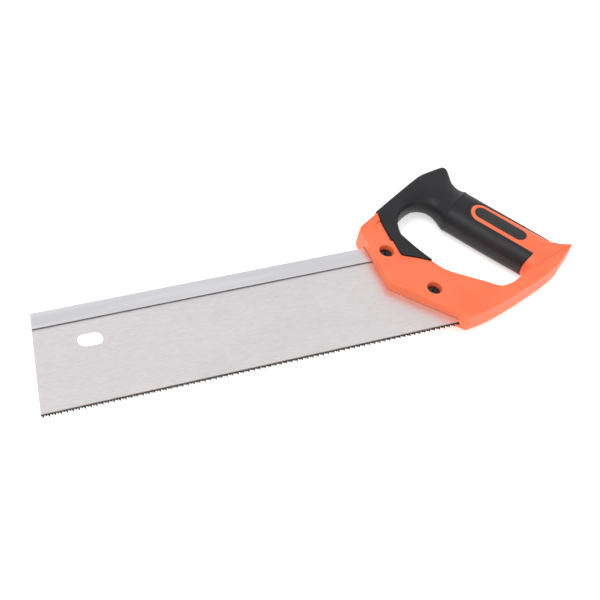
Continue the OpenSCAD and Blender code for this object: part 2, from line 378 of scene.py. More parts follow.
@dataclass(frozen=True)
class Place:
    """Where the saw's own axes lie in the frame, read from the boxes of the CAD nodes."""

    origin: Array
    heel: float
    front: float = 41.7

    @staticmethod
    def read() -> Place:
        """Finds the toe's tooth corner and the handle's heel from the blade's and the handle's boxes.

        Returns:
            The place.
        """
        low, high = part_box("saw_blade")
        handle_low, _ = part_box("handle_core")
        origin = np.array([low.x, low.y, (low.z + high.z) / 2])
        return Place(origin, (handle_low.x - low.x) / MM + Place.front)

    def world(self, points: Array) -> Array:
        """Metres in the frame for points in the saw's axes."""
        return np.asarray(points, float) * MM + self.origin

    def handle(self, points: Array) -> Array:
        """Metres in the frame for points measured from the heel end of the tooth line."""
        return self.world(np.asarray(points, float) + np.array([self.heel, 0, 0]))


# ---------------------------------------------------------------- finishes


class Slot(Enum):
    """Material slots of the record, one for each finish of the pieces."""

    BLADE = "blade_steel"
    BACK = "back_steel"
    HANDLE = "handle_plastic"
    COVER = "soft_cover"
    SCREW = "black_steel"


class Graph:
    """A material's node tree, with short ways to add and join nodes."""

    def __init__(self, name: str) -> None:
        """Starts a material of that name with one Principled shader.

        Args:
            name: Name of the material.
        """
        self.material = bpy.data.materials.new(name)
        self.material.use_nodes = True
        self.tree = self.material.node_tree
        self.tree.nodes.clear()
        self.shader = self.tree.nodes.new("ShaderNodeBsdfPrincipled")
        output = self.tree.nodes.new("ShaderNodeOutputMaterial")
        self.tree.links.new(self.shader.outputs[0], output.inputs[0])
        self.place = self.tree.nodes.new("ShaderNodeTexCoord").outputs["Object"]

    def node(self, kind: str, settings: dict | None = None, inputs: dict | None = None) -> bpy.types.Node:
        """Adds a node.

        Args:
            kind: Blender's node type, without its ShaderNode prefix.
            settings: The node's own properties.
            inputs: Values or sockets for its inputs, by name or number.

        Returns:
            The new node.
        """
        made = self.tree.nodes.new("ShaderNode" + kind)
        for key, value in (settings or {}).items():
            setattr(made, key, value)
        for key, value in (inputs or {}).items():
            if isinstance(value, Socket):
                self.tree.links.new(value, made.inputs[key])
            else:
                made.inputs[key].default_value = value
        return made

    def math(self, operation: str, a: float | Socket, b: float | Socket = 0.0) -> Socket:
        """Output of a Math node for two numbers or sockets."""
        made = self.node("Math", {"operation": operation}, {0: a, 1: b})
        return made.outputs[0]

    def ramp(self, value: Socket, low: float, high: float, start: float = 0.0, end: float = 1.0) -> Socket:
        """Maps a value smoothly from one range onto another.

        Args:
            value: The value to map.
            low: Lower end of its range.
            high: Upper end of its range.
            start: Result at the lower end.
            end: Result at the upper end.

        Returns:
            The mapped value.
        """
        made = self.node(
            "MapRange",
            {"interpolation_type": "SMOOTHSTEP"},
            {"Value": value, "From Min": low, "From Max": high, "To Min": start, "To Max": end},
        )
        return made.outputs["Result"]

    def noise(
        self, scale: float, stretch: tuple = (1, 1, 1), detail: float = 3.0, rough: float = 0.5
    ) -> Socket:
        """Noise on object coordinates.

        Args:
            scale: Cells to the metre.
            stretch: Factors on the coordinates; a cell gets longer by 1 over its factor.
            detail: Number of finer layers.
            rough: Weight of each finer layer.

        Returns:
            The noise, from 0 to 1.
        """
        spot = self.node("Mapping", {"vector_type": "POINT"}, {"Vector": self.place, "Scale": stretch})
        made = self.node(
            "TexNoise",
            {},
            {"Vector": spot.outputs[0], "Scale": scale, "Detail": detail, "Roughness": rough},
        )
        return made.outputs["Fac"]

    def mix(self, factor: float | Socket, a: tuple | Socket, b: tuple | Socket) -> Socket:
        """Mixes two colours.

        Args:
            factor: Share of b.
            a: First colour.
            b: Second colour.

        Returns:
            The mixed colour.
        """
        made = self.node("Mix", {"data_type": "RGBA"}, {})
        for socket, value in ((made.inputs[0], factor), (made.inputs[6], a), (made.inputs[7], b)):
            if isinstance(value, Socket):
                self.tree.links.new(value, socket)
            elif isinstance(value, tuple):
                socket.default_value = (*value, 1.0)
            else:
                socket.default_value = value
        return made.outputs[2]

    def bump(
        self, height: Socket, distance: float, strength: float = 1.0, under: Socket | None = None
    ) -> Socket:
        """Bends the normal by a height.

        Args:
            height: The height, from 0 to 1.
            distance: What a height of 1 means, in metres.
            strength: Share of the effect.
            under: Normal to start from, when it is already bent.

        Returns:
            The bent normal.
        """
        inputs = {"Height": height, "Distance": distance, "Strength": strength}
        if under is not None:
            inputs["Normal"] = under
        return self.node("Bump", {}, inputs).outputs[0]

    def axis(self, name: str) -> Socket:
        """One object coordinate, X, Y or Z, in metres."""
        return self.node("SeparateXYZ", {}, {0: self.place}).outputs[name]

    def join(self, **inputs) -> None:
        """Sets or links the shader's inputs; underscores in a name stand for spaces."""
        for key, value in inputs.items():
            socket = self.shader.inputs[key.replace("_", " ")]
            if isinstance(value, Socket):
                self.tree.links.new(value, socket)
            elif isinstance(value, tuple):
                socket.default_value = (*value, 1.0)
            else:
                socket.default_value = value


@dataclass(frozen=True)
class BladeSteel:
    """Ground spring steel with a fine lengthwise grain, blued and burnt dark along the hardened teeth."""

    colour: tuple = (0.85, 0.812, 0.82)
    shade: tuple = (0.772, 0.736, 0.744)
    burnt: tuple = (0.035, 0.036, 0.042)
    straw: tuple = (0.36, 0.27, 0.22)
    roughness: float = 0.38
    dark_to: float = 2.05
    straw_to: float = 2.7

    def build(self, place: Place) -> bpy.types.Material:
        """Makes the material: stretched noise for the grain, and bands by the height above the tips.

        Args:
            place: The saw's place in the frame, for bands that lie at a height on it.

        Returns:
            The material.
        """
        g = Graph("ground_blade_steel")
        fine = g.noise(1900, (0.13, 1, 1), 4, 0.6)
        broad = g.noise(45, (0.4, 1, 1), 3, 0.5)
        tone = g.math("ADD", g.math("MULTIPLY", fine, 0.75), g.math("MULTIPLY", broad, 0.25))
        steel = g.mix(g.ramp(tone, 0.36, 0.64), self.shade, self.colour)
        above = g.math("DIVIDE", g.math("SUBTRACT", g.axis("Y"), float(place.origin[1])), MM)
        wavy = g.math("ADD", above, g.math("MULTIPLY", g.noise(220), 0.5))
        tinted = g.mix(g.ramp(wavy, self.dark_to + 0.4, self.straw_to + 0.5, 1, 0), steel, self.straw)
        colour = g.mix(g.ramp(wavy, self.dark_to - 0.2, self.dark_to + 0.6, 1, 0), tinted, self.burnt)
        rough = g.ramp(fine, 0.3, 0.7, self.roughness - 0.05, self.roughness + 0.07)
        g.join(Base_Color=colour, Metallic=0.9, Roughness=rough)
        g.join(Normal=g.bump(fine, 0.00001, 0.25))
        return g.material


@dataclass(frozen=True)
class BackSteel:
    """Bright rolled steel strip with a satin face, and a dark band along its lips: partly the sheared edge's
    own colour, partly painted shade where the lip meets the blade.
    """

    colour: tuple = (0.825, 0.815, 0.85)
    shade: tuple = (0.755, 0.745, 0.78)
    # Colour of the lips' band: sheared steel, darkened further as painted shade.
    edge: tuple = (0.17, 0.165, 0.17)
    roughness: float = 0.32
    lip: float = BACK_LIP

    def build(self, place: Place) -> bpy.types.Material:
        """Makes the material: faint streaks along the strip, and a dark band of sheared edge and painted
        shade at the height of the lips.

        Args:
            place: The saw's place in the frame, for bands that lie at a height on it.

        Returns:
            The material.
        """
        g = Graph("rolled_back_steel")
        streak = g.noise(160, (0.05, 1, 1), 2, 0.45)
        steel = g.mix(g.ramp(streak, 0.35, 0.65), self.shade, self.colour)
        above = g.math("DIVIDE", g.math("SUBTRACT", g.axis("Y"), float(place.origin[1])), MM)
        # Dark band at the lips: darker sheared steel together with painted shade under the lip's edge.
        colour = g.mix(g.ramp(above, self.lip + 0.0, self.lip + 0.22, 1, 0), steel, self.edge)
        rough = g.ramp(streak, 0.3, 0.7, self.roughness - 0.03, self.roughness + 0.04)
        g.join(Base_Color=colour, Metallic=0.9, Roughness=rough)
        g.join(Normal=g.bump(g.noise(1500, (0.1, 1, 1), 2, 0.5), 0.00001, 0.08))
        return g.material


@dataclass(frozen=True)
class OrangePlastic:
    """Moulded orange plastic with a spark-eroded texture, a parting line, and painted shade in the gap at the
    covering and along the parting line.
    """

    colour: tuple = (0.985, 0.172, 0.064)
    pale: tuple = (0.985, 0.198, 0.08)
    painted_seam_shade: tuple = (0.035, 0.02, 0.018)
    roughness: float = 0.46
    seam_shade_width: float = 0.24
    line_width: float = 0.00022

    def build(self, place: Place) -> bpy.types.Material:
        """Makes the material: grain by noise, painted gap shade by the piece's own distance from the
        covering.

        Args:
            place: The saw's place in the frame, for bands that lie at a height on it.

        Returns:
            The material.
        """
        g = Graph("orange_handle_plastic")
        cloud = g.noise(35, (1, 1, 1), 2, 0.5)
        grain = g.noise(2600, (1, 1, 1), 2, 0.6)
        plastic = g.mix(g.ramp(cloud, 0.35, 0.65), self.colour, self.pale)
        # Painted shade: near-black within about a quarter millimetre of the covering's edge, standing in for
        # the shadow in the gap between core and cover.
        gap = g.node("Attribute", {"attribute_name": "joint_distance"}).outputs["Fac"]
        near = g.ramp(gap, self.seam_shade_width, self.seam_shade_width + 0.12, 1, 0)
        level = g.math("ABSOLUTE", g.math("SUBTRACT", g.axis("Z"), float(place.origin[2])))
        line = g.ramp(level, self.line_width, self.line_width * 2, 1, 0)
        # The parting line gets a 0.3 share of the same painted shade colour.
        colour = g.mix(g.math("MULTIPLY", line, 0.3), g.mix(near, plastic, self.painted_seam_shade), self.painted_seam_shade)
        rough = g.ramp(grain, 0.3, 0.7, self.roughness - 0.05, self.roughness + 0.06)
        normal = g.bump(grain, 0.00003, 0.35)
        normal = g.bump(g.ramp(level, 0, self.line_width * 3), 0.0001, 0.6, normal)
        g.join(Base_Color=colour, Roughness=rough, Normal=normal)
        g.join(Subsurface_Weight=0.12, Subsurface_Radius=Vector((0.004, 0.0012, 0.0006)))
        return g.material


@dataclass(frozen=True)
class SoftCover:
    """Charcoal soft-touch rubber with a matt fine grain and a faint sheen."""

    colour: tuple = (0.0078, 0.0072, 0.0095)
    pale: tuple = (0.0118, 0.0108, 0.0145)
    roughness: float = 0.47

    def build(self) -> bpy.types.Material:
        """Makes the material: two noises for grain and wear, and a low sheen.

        Returns:
            The material.
        """
        g = Graph("charcoal_soft_cover")
        cloud = g.noise(90, (1, 1, 1), 3, 0.55)
        grain = g.noise(3200, (1, 1, 1), 2, 0.65)
        tone = g.math("ADD", g.math("MULTIPLY", cloud, 0.6), g.math("MULTIPLY", grain, 0.4))
        colour = g.mix(g.ramp(tone, 0.38, 0.64), self.colour, self.pale)
        rough = g.ramp(grain, 0.3, 0.7, self.roughness - 0.06, self.roughness + 0.08)
        g.join(Base_Color=colour, Roughness=rough, Normal=g.bump(grain, 0.00004, 0.5))
        g.join(Specular_IOR_Level=0.38, Sheen_Weight=0.02, Sheen_Roughness=0.5)
        return g.material


@dataclass(frozen=True)
class BadgeFinish:
    """Satin black moulded plate."""

    colour: tuple = (0.016, 0.0145, 0.015)
    roughness: float = 0.45

    def build(self) -> bpy.types.Material:
        """Makes the material: a fine even grain in the gloss.

        Returns:
            The material.
        """
        g = Graph("satin_black_badge")
        grain = g.noise(1800, (1, 1, 1), 2, 0.5)
        tint = g.mix(g.ramp(grain, 0.3, 0.7), self.colour, tuple(1.5 * c for c in self.colour))
        rough = g.ramp(grain, 0.3, 0.7, self.roughness - 0.06, self.roughness + 0.06)
        g.join(Base_Color=tint, Roughness=rough, Normal=g.bump(grain, 0.00002, 0.25))
        return g.material


@dataclass(frozen=True)
class BlackSteel:
    """Black oxide on steel, worn a little brighter in places."""

    colour: tuple = (0.03, 0.03, 0.032)
    worn: tuple = (0.11, 0.11, 0.115)
    roughness: float = 0.38

    def build(self) -> bpy.types.Material:
        """Makes the material: wear by broad noise, in colour and gloss.

        Returns:
            The material.
        """
        g = Graph("black_oxide_steel")
        wear = g.noise(700, (1, 1, 1), 4, 0.6)
        colour = g.mix(g.ramp(wear, 0.52, 0.7), self.colour, self.worn)
        rough = g.ramp(wear, 0.3, 0.7, self.roughness + 0.08, self.roughness - 0.08)
        g.join(Base_Color=colour, Metallic=0.75, Roughness=rough, Normal=g.bump(wear, 0.00003, 0.3))
        return g.material


def dress(piece: bpy.types.Object, material: bpy.types.Material, slot: Slot, *nodes: str) -> None:
    """Gives a piece its material and its body, and hides the CAD nodes that it stands for.

    Args:
        piece: The finished piece.
        material: Its material.
        slot: Not used; the record's slot that the finish belongs to.
        nodes: CAD nodes that the piece replaces.
    """
    piece.data.materials.clear()
    piece.data.materials.append(material)
    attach(piece, "root")
    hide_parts(*nodes)
    LOG.info("%s: %d faces for %s", piece.name, len(piece.data.polygons), ", ".join(nodes))


# ---------------------------------------------------------------- blade and back


@dataclass
class Blade:
    """Toothed sheet with a slanted toe, a hanging slot and a tang inside the handle."""

    place: Place
    thickness: float = 0.8
    top: float = 80.4
    toe_lean: float = TOE_LEAN
    pitch: float = 1.93
    depth: float = 2.0
    stop: float = 5.2
    bend: float = 0.38
    filed: float = 0.42
    slot_middle: tuple = (50.0, 51.6)
    slot_length: float = 17.0
    slot_width: float = 10.0
    tang: tuple = ((-5.2, 1.8), (-5.2, 7.5), (8, 16), (-4, 41), (-18, 58), (-22, 74), (-22, 80.4))
    bolts: tuple = BOLTS
    bolt_hole: float = 3.3

    def sheet(self) -> tuple[Array, Array]:
        """Grid of the sheet: columns follow the teeth, rows rise from the tooth line to the top edge.

        Along a row, x is shared out between the slanted toe and the tang's edge.  The first row is a
        saw-tooth: gullets at the tooth's depth, tips at zero, and each tip bent to alternate sides.

        Returns:
            The upper and lower skins.
        """
        heel = self.place.heel
        length = heel - self.stop
        count = int((length - 0.5) // self.pitch)
        tooth = length - 0.5 - self.pitch * np.arange(count)[::-1, None]
        x = (tooth + self.pitch * np.array([[-0.5, -0.04, 0.04]])).ravel()
        height = np.tile([self.depth, 0.0, 0.0], count)
        side = np.repeat(np.where(np.arange(count) % 2, 1.0, -1.0), 3) * np.tile([0, 1, 1], count)
        x = np.concatenate([[0, 0.3], x, [length]])
        height = np.concatenate([[0, 0], height, [self.depth]])
        side = np.concatenate([[0, 0], side, [0]])
        levels = np.array([0, 2.1, 2.8, 4, 7.5, 11, 16, 26, 34, 41, 49, 58, 66, 74, self.top])
        edge = np.array(self.tang, float)
        right = heel + np.interp(levels, edge[:, 1], edge[:, 0])
        left = self.toe_lean * levels
        share = x / length
        grid_x = left[:, None] + share * (right - left)[:, None]
        grid_x[0] = x
        grid_y = np.repeat(levels[:, None], len(x), 1)
        grid_y[0] = height
        half = self.thickness / 2
        upper = np.stack([grid_x, grid_y, np.full_like(grid_x, half)], -1)
        lower = np.stack([grid_x, grid_y, np.full_like(grid_x, -half)], -1)
        upper[0, :, 2] += self.bend * side - np.where(side < 0, self.filed, 0)
        lower[0, :, 2] += self.bend * side + np.where(side > 0, self.filed, 0)
        return upper, lower

    def obround(self, grow: float, height: float) -> Array:
        """Outline of the slot grown by an amount, as points at a height.

        Args:
            grow: Amount by which the outline is larger than the slot.
            height: Height of the points.

        Returns:
            The loop of points.
        """
        angle = np.linspace(-np.pi / 2, np.pi / 2, 33)
        half = (self.slot_length - self.slot_width) / 2
        radius = self.slot_width / 2 + grow
        right = np.stack([half + radius * np.cos(angle), radius * np.sin(angle)], 1)
        loop = np.vstack([right, -right]) + np.array(self.slot_middle)
        return np.column_stack([loop, np.full(len(loop), height)])

    def slot_cutter(self) -> bpy.types.Object:
        """Closed plug of the slot's outline that widens a little at both faces, for a broken edge.

        Returns:
            The cutter.
        """
        half, ease = self.thickness / 2, 0.05
        levels = [(0.6, half + 0.6), (ease, half + 0.01), (0, half - ease)]
        rings = [self.obround(g, z) for g, z in levels] + [self.obround(g, -z) for g, z in levels[::-1]]
        loop = np.stack(rings)
        faces = grid_faces(len(rings), loop.shape[1], wrap_columns=True).tolist()
        size = loop.shape[1]
        faces += [list(range(size)), list(range((len(rings) - 1) * size, len(rings) * size))]
        return new_piece("slot_cutter", self.place.world(loop.reshape(-1, 3)), faces)

    def build(self, material: bpy.types.Material) -> bpy.types.Object:
        """Makes the blade, cuts its slot and bolt holes, and dresses it.

        Args:
            material: Material that the piece gets.

        Returns:
            The piece.
        """
        points, faces = closed_sheet(*self.sheet())
        piece = new_piece("saw_blade_steel", self.place.world(points), faces)
        cut_away(piece, self.slot_cutter())
        for x, y in self.bolts:
            profile = np.array([[0, -3], [self.bolt_hole, -3], [self.bolt_hole, 3], [0, 3]], float)
            points, faces = turned(profile, np.array([self.place.heel + x, y]))
            cut_away(piece, new_piece("bolt_cutter", self.place.world(points), faces))
        sharpen(piece, 30)
        dress(piece, material, Slot.BLADE, "saw_blade")
        return piece


@dataclass
class FoldedBack:
    """Steel strip folded over the blade's top edge, with lips that open slightly at the bottom."""

    place: Place
    lip: float = BACK_LIP
    top: float = 81.5
    half: float = 1.5
    wall: float = 1.07
    lip_gap: float = 0.24
    toe_lean: float = TOE_LEAN
    end: float = -37.7

    def section(self) -> tuple[Array, Array]:
        """Outer and inner line of the strip's section, as y and z per row, from one lip to the other.

        Returns:
            The outer and the inner line.
        """
        bend = np.linspace(0, np.pi, 25)
        fold_y = self.top - self.half
        leg = np.array([self.lip + 0.0, self.lip + 0.12, self.lip + 0.35, self.lip + 2.2, self.lip + 6])
        ease = np.array([0.30, 0.10, 0.0, 0.0, 0.0])
        crown = np.array([0.0, 0.0, 0.0, 0.0, -0.02])
        outer = np.column_stack([leg, self.half - ease + crown])
        arc = np.column_stack([fold_y + self.half * np.sin(bend), self.half * np.cos(bend)])
        outer = np.vstack([outer, arc, (outer * [1, -1])[::-1]])
        slack = np.interp(leg, [self.lip, self.lip + 2.2], [self.lip_gap, 0.0])
        inner_half = self.half - self.wall
        inner = np.column_stack([leg, inner_half + slack])
        arc = np.column_stack([fold_y + inner_half * np.sin(bend), inner_half * np.cos(bend)])
        inner = np.vstack([inner, arc, (inner * [1, -1])[::-1]])
        return outer, inner

    def build(self, material: bpy.types.Material) -> bpy.types.Object:
        """Carries the section from the slanted toe to the handle: x is shared out along the length.

        Args:
            material: Material that the piece gets.

        Returns:
            The piece.
        """
        outer, inner = self.section()
        share = np.concatenate([[0, 0.0006], np.linspace(0.004, 1, 60)])
        skins = []
        for line, draw_in in ((outer, 0.12), (inner, 0.0)):
            start = self.toe_lean * line[:, 0]
            x = start + share[:, None] * (self.place.heel + self.end - start)
            y = np.broadcast_to(line[:, 0], x.shape).copy()
            z = np.broadcast_to(line[:, 1], x.shape).copy()
            z[0] -= np.sign(z[0]) * np.minimum(np.abs(z[0]), draw_in)
            skins.append(np.stack([x, y, z], -1))
        points, faces = closed_sheet(*skins)
        piece = new_piece("folded_back_strip", self.place.world(points), faces)
        sharpen(piece, 35)
        dress(piece, material, Slot.BACK, "blade_back")
        return piece


# ---------------------------------------------------------------- handle form


@dataclass(frozen=True)
class Station:
    """One section of the handle: where it runs, how far the grip swells there, and its inner rounding."""

    outer: tuple
    inner: tuple
    rear_swell: float = 0.0
    front_swell: float = 0.0
    plan: float = 0.0
    along: float = 0.0
    ease: float = 1.3
    drop: float = 1.3
    crest_ease: float = 1.0


# The sections go once round the hand opening, from the chin over the horn and down the grip.
STATIONS = (
    Station((-41.7, 43.5), (-8.2, 65)),
    Station((-41.7, 65), (-12.9, 77.5)),
    Station((-41.7, 78), (-13.9, 83), ease=1.8, drop=1.8),
    Station((-41.7, 86), (-10.5, 94.4), ease=2.6, drop=2.4),
    Station((-39, 94), (-6.5, 100), ease=3.6, drop=3.2),
    Station((-29, 101.3), (-1.5, 104), ease=4.8, drop=4.2),
    Station((-10, 111.7), (4.5, 107.5), ease=6.6, drop=5.4),
    Station((10, 122.6), (11.1, 109), ease=8.2, drop=6.4, along=-26, crest_ease=1.4),
    Station((26, 131), (16, 108.4), 0.02, 0.06, 0, -22, 9.2, 7.0, 2.4),
    Station((40, 134.5), (19.3, 107), 0.05, 0.12, 0, -19, 9.6, 7.3, 2.6),
    Station((49.5, 136), (22, 105.2), 0.09, 0.2, 0, -16, 9.8, 7.4, 2.6),
    Station((48.6, 125), (24.4, 102.3), 0.20, 0.36, 0.03, -12, 9.8, 7.4, 2.6),
    Station((47.3, 119), (25.8, 100.2), 0.28, 0.50, 0.10, -9, 9.8, 7.4, 2.6),
    Station((48.2, 111.5), (27.4, 97.2), 0.42, 0.70, 0.30, -5.5, 9.8, 7.4, 2.6),
    Station((51.2, 106.8), (28.8, 93.6), 0.62, 0.90, 0.62, -2, 9.8, 7.4, 2.6),
    Station((54.9, 105.4), (29.8, 90.8), 1, 1, 1, 1.2, 9.8, 7.4, 2.6),
    Station((70.2, 81.6), (46.7, 65.7), 1, 1, 1, 31, 9.8, 7.4),
    Station((90.0, 52.2), (64.6, 35.8), 1, 1, 1, 66.8, 9.8, 7.4),
    Station((93.6, 48.6), (64.2, 33.6), 0.97, 0.94, 0.95, 69.0, 8.0, 6.2),
    Station((98.0, 46.0), (63.5, 31.9), 0.82, 0.50, 0.62, 71.6, 5.0, 4.0),
    Station((103.5, 44.3), (62.4, 30.4), 0.46, 0.14, 0.18, 75, 3.0, 2.5),
    Station((108.6, 42.7), (61.0, 28.9), 0.14, 0.02, 0, 79, 2.0, 1.8),
    Station((98, 34), (58.5, 27), 0.03, 0, 0, 82, 1.5, 1.4),
    Station((87, 26.5), (55, 24.9), 0, 0, 0, 84),
    Station((76, 21.6), (51, 22.9)),
    Station((60, 15.2), (46, 20.9)),
    Station((45, 10), (40, 20)),
    Station((30, 5.2), (34, 21.4)),
    Station((15, 1.3), (27, 26.6)),
    Station((1.5, 0), (14, 35.8)),
    Station((-12, 12.2), (5, 42.3)),
    Station((-27, 27.2), (-2.8, 53.8)),
)


@dataclass
class HandleForm:
    """The handle's outer surface as a function of two parameters, and the zones drawn on it.

    The first parameter t goes round the ring of the handle, from 0 to 1; the second r goes round the
    section, in rows, from the middle of the outer wall over the upper face to the inner wall and back.
    """

    shelf: float = 8.0
    crest: float = 12.8
    grip_half: float = 17.0
    power: float = 2.3
    grip_top: tuple = (41.0, 99.3)
    grip_end: tuple = (78.3, 44.5)
    draft: float = 0.22
    corner_radius: float = 2.0
    wall_rows: int = 4
    ease_rows: int = 8
    face_rows: int = 26
    oval_radius: float = 8.7
    oval_flare: float = 5.0
    badge_start: float = 20.5
    badge_run: float = 30.9
    strip_run: float = 10.0
    outer_line: Array = field(init=False)
    inner_line: Array = field(init=False)

    def __post_init__(self) -> None:
        """Works out the two outlines, the section tables and the lookup of each section's place."""
        top, end = np.array(self.grip_top), np.array(self.grip_end)
        self.grip_length = float(np.linalg.norm(end - top))
        self.way = (end - top) / self.grip_length
        self.rear = np.array([-self.way[1], self.way[0]])
        self.outer_line = self.outer_outline()
        self.inner_line = self.inner_outline()
        self.half_rows = 2 * self.wall_rows + 2 * self.ease_rows + self.face_rows
        self.rows = 2 * self.half_rows
        self.tables = self.section_tables()
        self.lookup = self.ring_lookup()

    def outer_outline(self) -> Array:
        """Outer outline of the plate from the chin round the horn, grip, beak and heel, closed.

        Returns:
            The closed line.
        """
        front = -Place.front
        heel, chin, nose = (1.0, -0.8), (front, 41.9), (front, 94.4)
        brow, horn, back = (27.5, 132.2), (50.3, 136.6), (50.1, 131.5)
        beak, small = (109.9, 42.6), self.corner_radius
        throat = [(50.1, 131.5), (48.6, 125), (47.3, 119), (48.2, 111.5), (51.2, 106.8), (54.6, 105.6)]
        tail = [(56.2, 103.2), (70.2, 81.6), (83.6, 61.5), (90.6, 51.4), (95.6, 47), (102, 44.6)]
        under = [(98, 34), (87, 26.5), (65, 17), (35, 6.7), (17, 1.7)]
        tail_curve = catmull(np.array(tail + [beak]), 8, False)
        under_curve = catmull(np.array([beak] + under + [heel]), 8, False)
        tip = blunted(tail_curve[:-1], beak, under_curve[1:-1], 0.8)
        pieces = [
            rounded_corner(heel, chin, nose, small),
            rounded_corner(chin, nose, brow, 7.0, 12),
            rounded_corner(nose, brow, horn, 40.0, 12),
            rounded_corner(brow, horn, back, 3.2, 10),
            catmull(np.array(throat), 8, False),
            blunted(tip, heel, np.array([chin, chin]) * 0.5 + np.array(heel) * 0.5, small + 0.6)[:-2],
        ]
        line = np.vstack(pieces)
        return np.vstack([line, line[:1]])

    def inner_outline(self) -> Array:
        """Outline of the hand opening, a smooth closed curve that starts beside the chin.

        Returns:
            The closed line.
        """
        points = [
            (-8.2, 65), (-12.9, 77.5), (-13.9, 83), (-10.5, 94.4), (-1.5, 104), (11.1, 109), (21, 106.2),
            (26.9, 98.4), (31, 88.8), (45.4, 67.7), (63.4, 41.3), (63.8, 33.4), (58, 26.6), (48, 21.5),
            (39.3, 19.9), (34.5, 21), (28, 25.9), (15.5, 34.6), (4, 43.3), (-2.8, 53.8),
        ]
        line = catmull(np.array(points, float), 12, True)
        return np.vstack([line, line[:1]])

    def section_tables(self) -> dict[str, Array]:
        """Per row of half a section: shares that build the flat plate's section and the grip's angle.

        The wall rises straight, a quarter of an ellipse leads on to the face, the face runs across, and
        the same follows on the inner side.  `turn` is the angle of the grip's super-ellipse.

        Returns:
            One array per quantity, with a value per row.
        """
        w, e, f = self.wall_rows, self.ease_rows, self.face_rows
        rise = np.linspace(0, 1, w + 1)
        turn = np.linspace(0, np.pi / 2, e + 1)[1:]
        flat = np.linspace(0, 1, f + 1)[1:]
        zero_w, zero_e, zero_f = np.zeros(w + 1), np.zeros(e), np.zeros(f)
        one_w, one_e, one_f = zero_w + 1, zero_e + 1, zero_f + 1
        back_turn = np.linspace(np.pi / 2, 0, e + 1)[1:]
        fall = np.linspace(1, 0, w + 1)[1:]
        tail = np.zeros(w)
        join = np.concatenate
        return {
            "across": join([zero_w, zero_e, flat, one_e, tail + 1]),
            "outer_in": join([zero_w, 1 - np.cos(turn), one_f, one_e, tail + 1]),
            "inner_in": join([one_w, one_e, one_f, 1 - np.cos(back_turn), tail]),
            "height": join([rise, one_e, one_f, one_e, fall]),
            "outer_drop": join([rise, 1 - np.sin(turn), zero_f, zero_e, tail]),
            "inner_drop": join([zero_w, zero_e, zero_f, 1 - np.sin(back_turn), fall]),
            "outer_lean": join([rise, one_e, one_f, one_e, tail + 1]),
            "inner_lean": join([one_w, one_e, one_f, one_e, fall]),
            "turn": join(
                [
                    np.radians(18) * rise,
                    np.radians(18) + np.radians(30) * np.linspace(0, 1, e + 1)[1:],
                    np.radians(48) + np.radians(84) * flat,
                    np.radians(132) + np.radians(30) * np.linspace(0, 1, e + 1)[1:],
                    np.radians(162) + np.radians(18) * (1 - fall),
                ]
            ),
        }

    def ring_lookup(self) -> dict[str, Array]:
        """Place and shape of the section at each of many even steps of t.

        The outer outline is stepped by length plus a share of its turning, so corners get more
        sections.  The stations tie lengths along the outer outline to lengths along the inner one and
        to the shape values; both are smoothed round the ring by a moving average.

        Returns:
            One array per quantity, with a value per place round the ring.
        """
        outer_s, inner_s = arc_lengths(self.outer_line), arc_lengths(self.inner_line)
        step = np.diff(self.outer_line, axis=0)
        heading = np.unwrap(np.arctan2(step[:, 1], step[:, 0]))
        bend = np.abs(np.diff(np.concatenate([heading[-1:] - 2 * np.pi * np.sign(heading[-1]), heading])))
        bend = np.minimum(bend, 1.0)
        weight = np.concatenate([[0], np.cumsum(np.linalg.norm(step, axis=1) + 5.0 * bend)])
        count = 3000
        fine_s = np.interp(np.arange(count) / count * weight[-1], weight, outer_s)

        def nearest(line: Array, lengths: Array, point: tuple) -> float:
            """Length along a line at its place nearest to a point.

            Args:
                line: Points of the line.
                lengths: Length along the line at each point.
                point: The plan point.

            Returns:
                Length along the line.
            """
            dense = np.linspace(0, lengths[-1], 8000)
            spots = np.column_stack([np.interp(dense, lengths, line[:, k]) for k in (0, 1)])
            return float(dense[np.argmin(np.linalg.norm(spots - np.array(point), axis=1))])

        at = np.array([nearest(self.outer_line, outer_s, s.outer) for s in STATIONS])
        to = np.array([nearest(self.inner_line, inner_s, s.inner) for s in STATIONS])
        at = np.where(at < at[0] - 1e-6, at + outer_s[-1], at)
        to = np.where(np.arange(len(to)) > 0, np.where(to < to[0], to + inner_s[-1], to), to)
        values = np.array(
            [[s.rear_swell, s.front_swell, s.plan, s.along, s.ease, s.drop, s.crest_ease] for s in STATIONS]
        )
        around = np.concatenate([at - outer_s[-1], at, at + outer_s[-1]])
        inner_around = np.concatenate([to - inner_s[-1], to, to + inner_s[-1]])
        width = 61
        kernel = np.hanning(width + 2)[1:-1]
        kernel /= kernel.sum()

        def smoothed(numbers: Array, period: float) -> Array:
            """Moving average round the ring of numbers that grow by period each time round.

            Args:
                numbers: One value per place round the ring.
                period: What the value grows by in one turn, or 0.

            Returns:
                The smoothed values.
            """
            pad = width // 2
            long = np.concatenate([numbers[-pad:] - period, numbers, numbers[:pad] + period])
            return np.convolve(long, kernel, "valid")

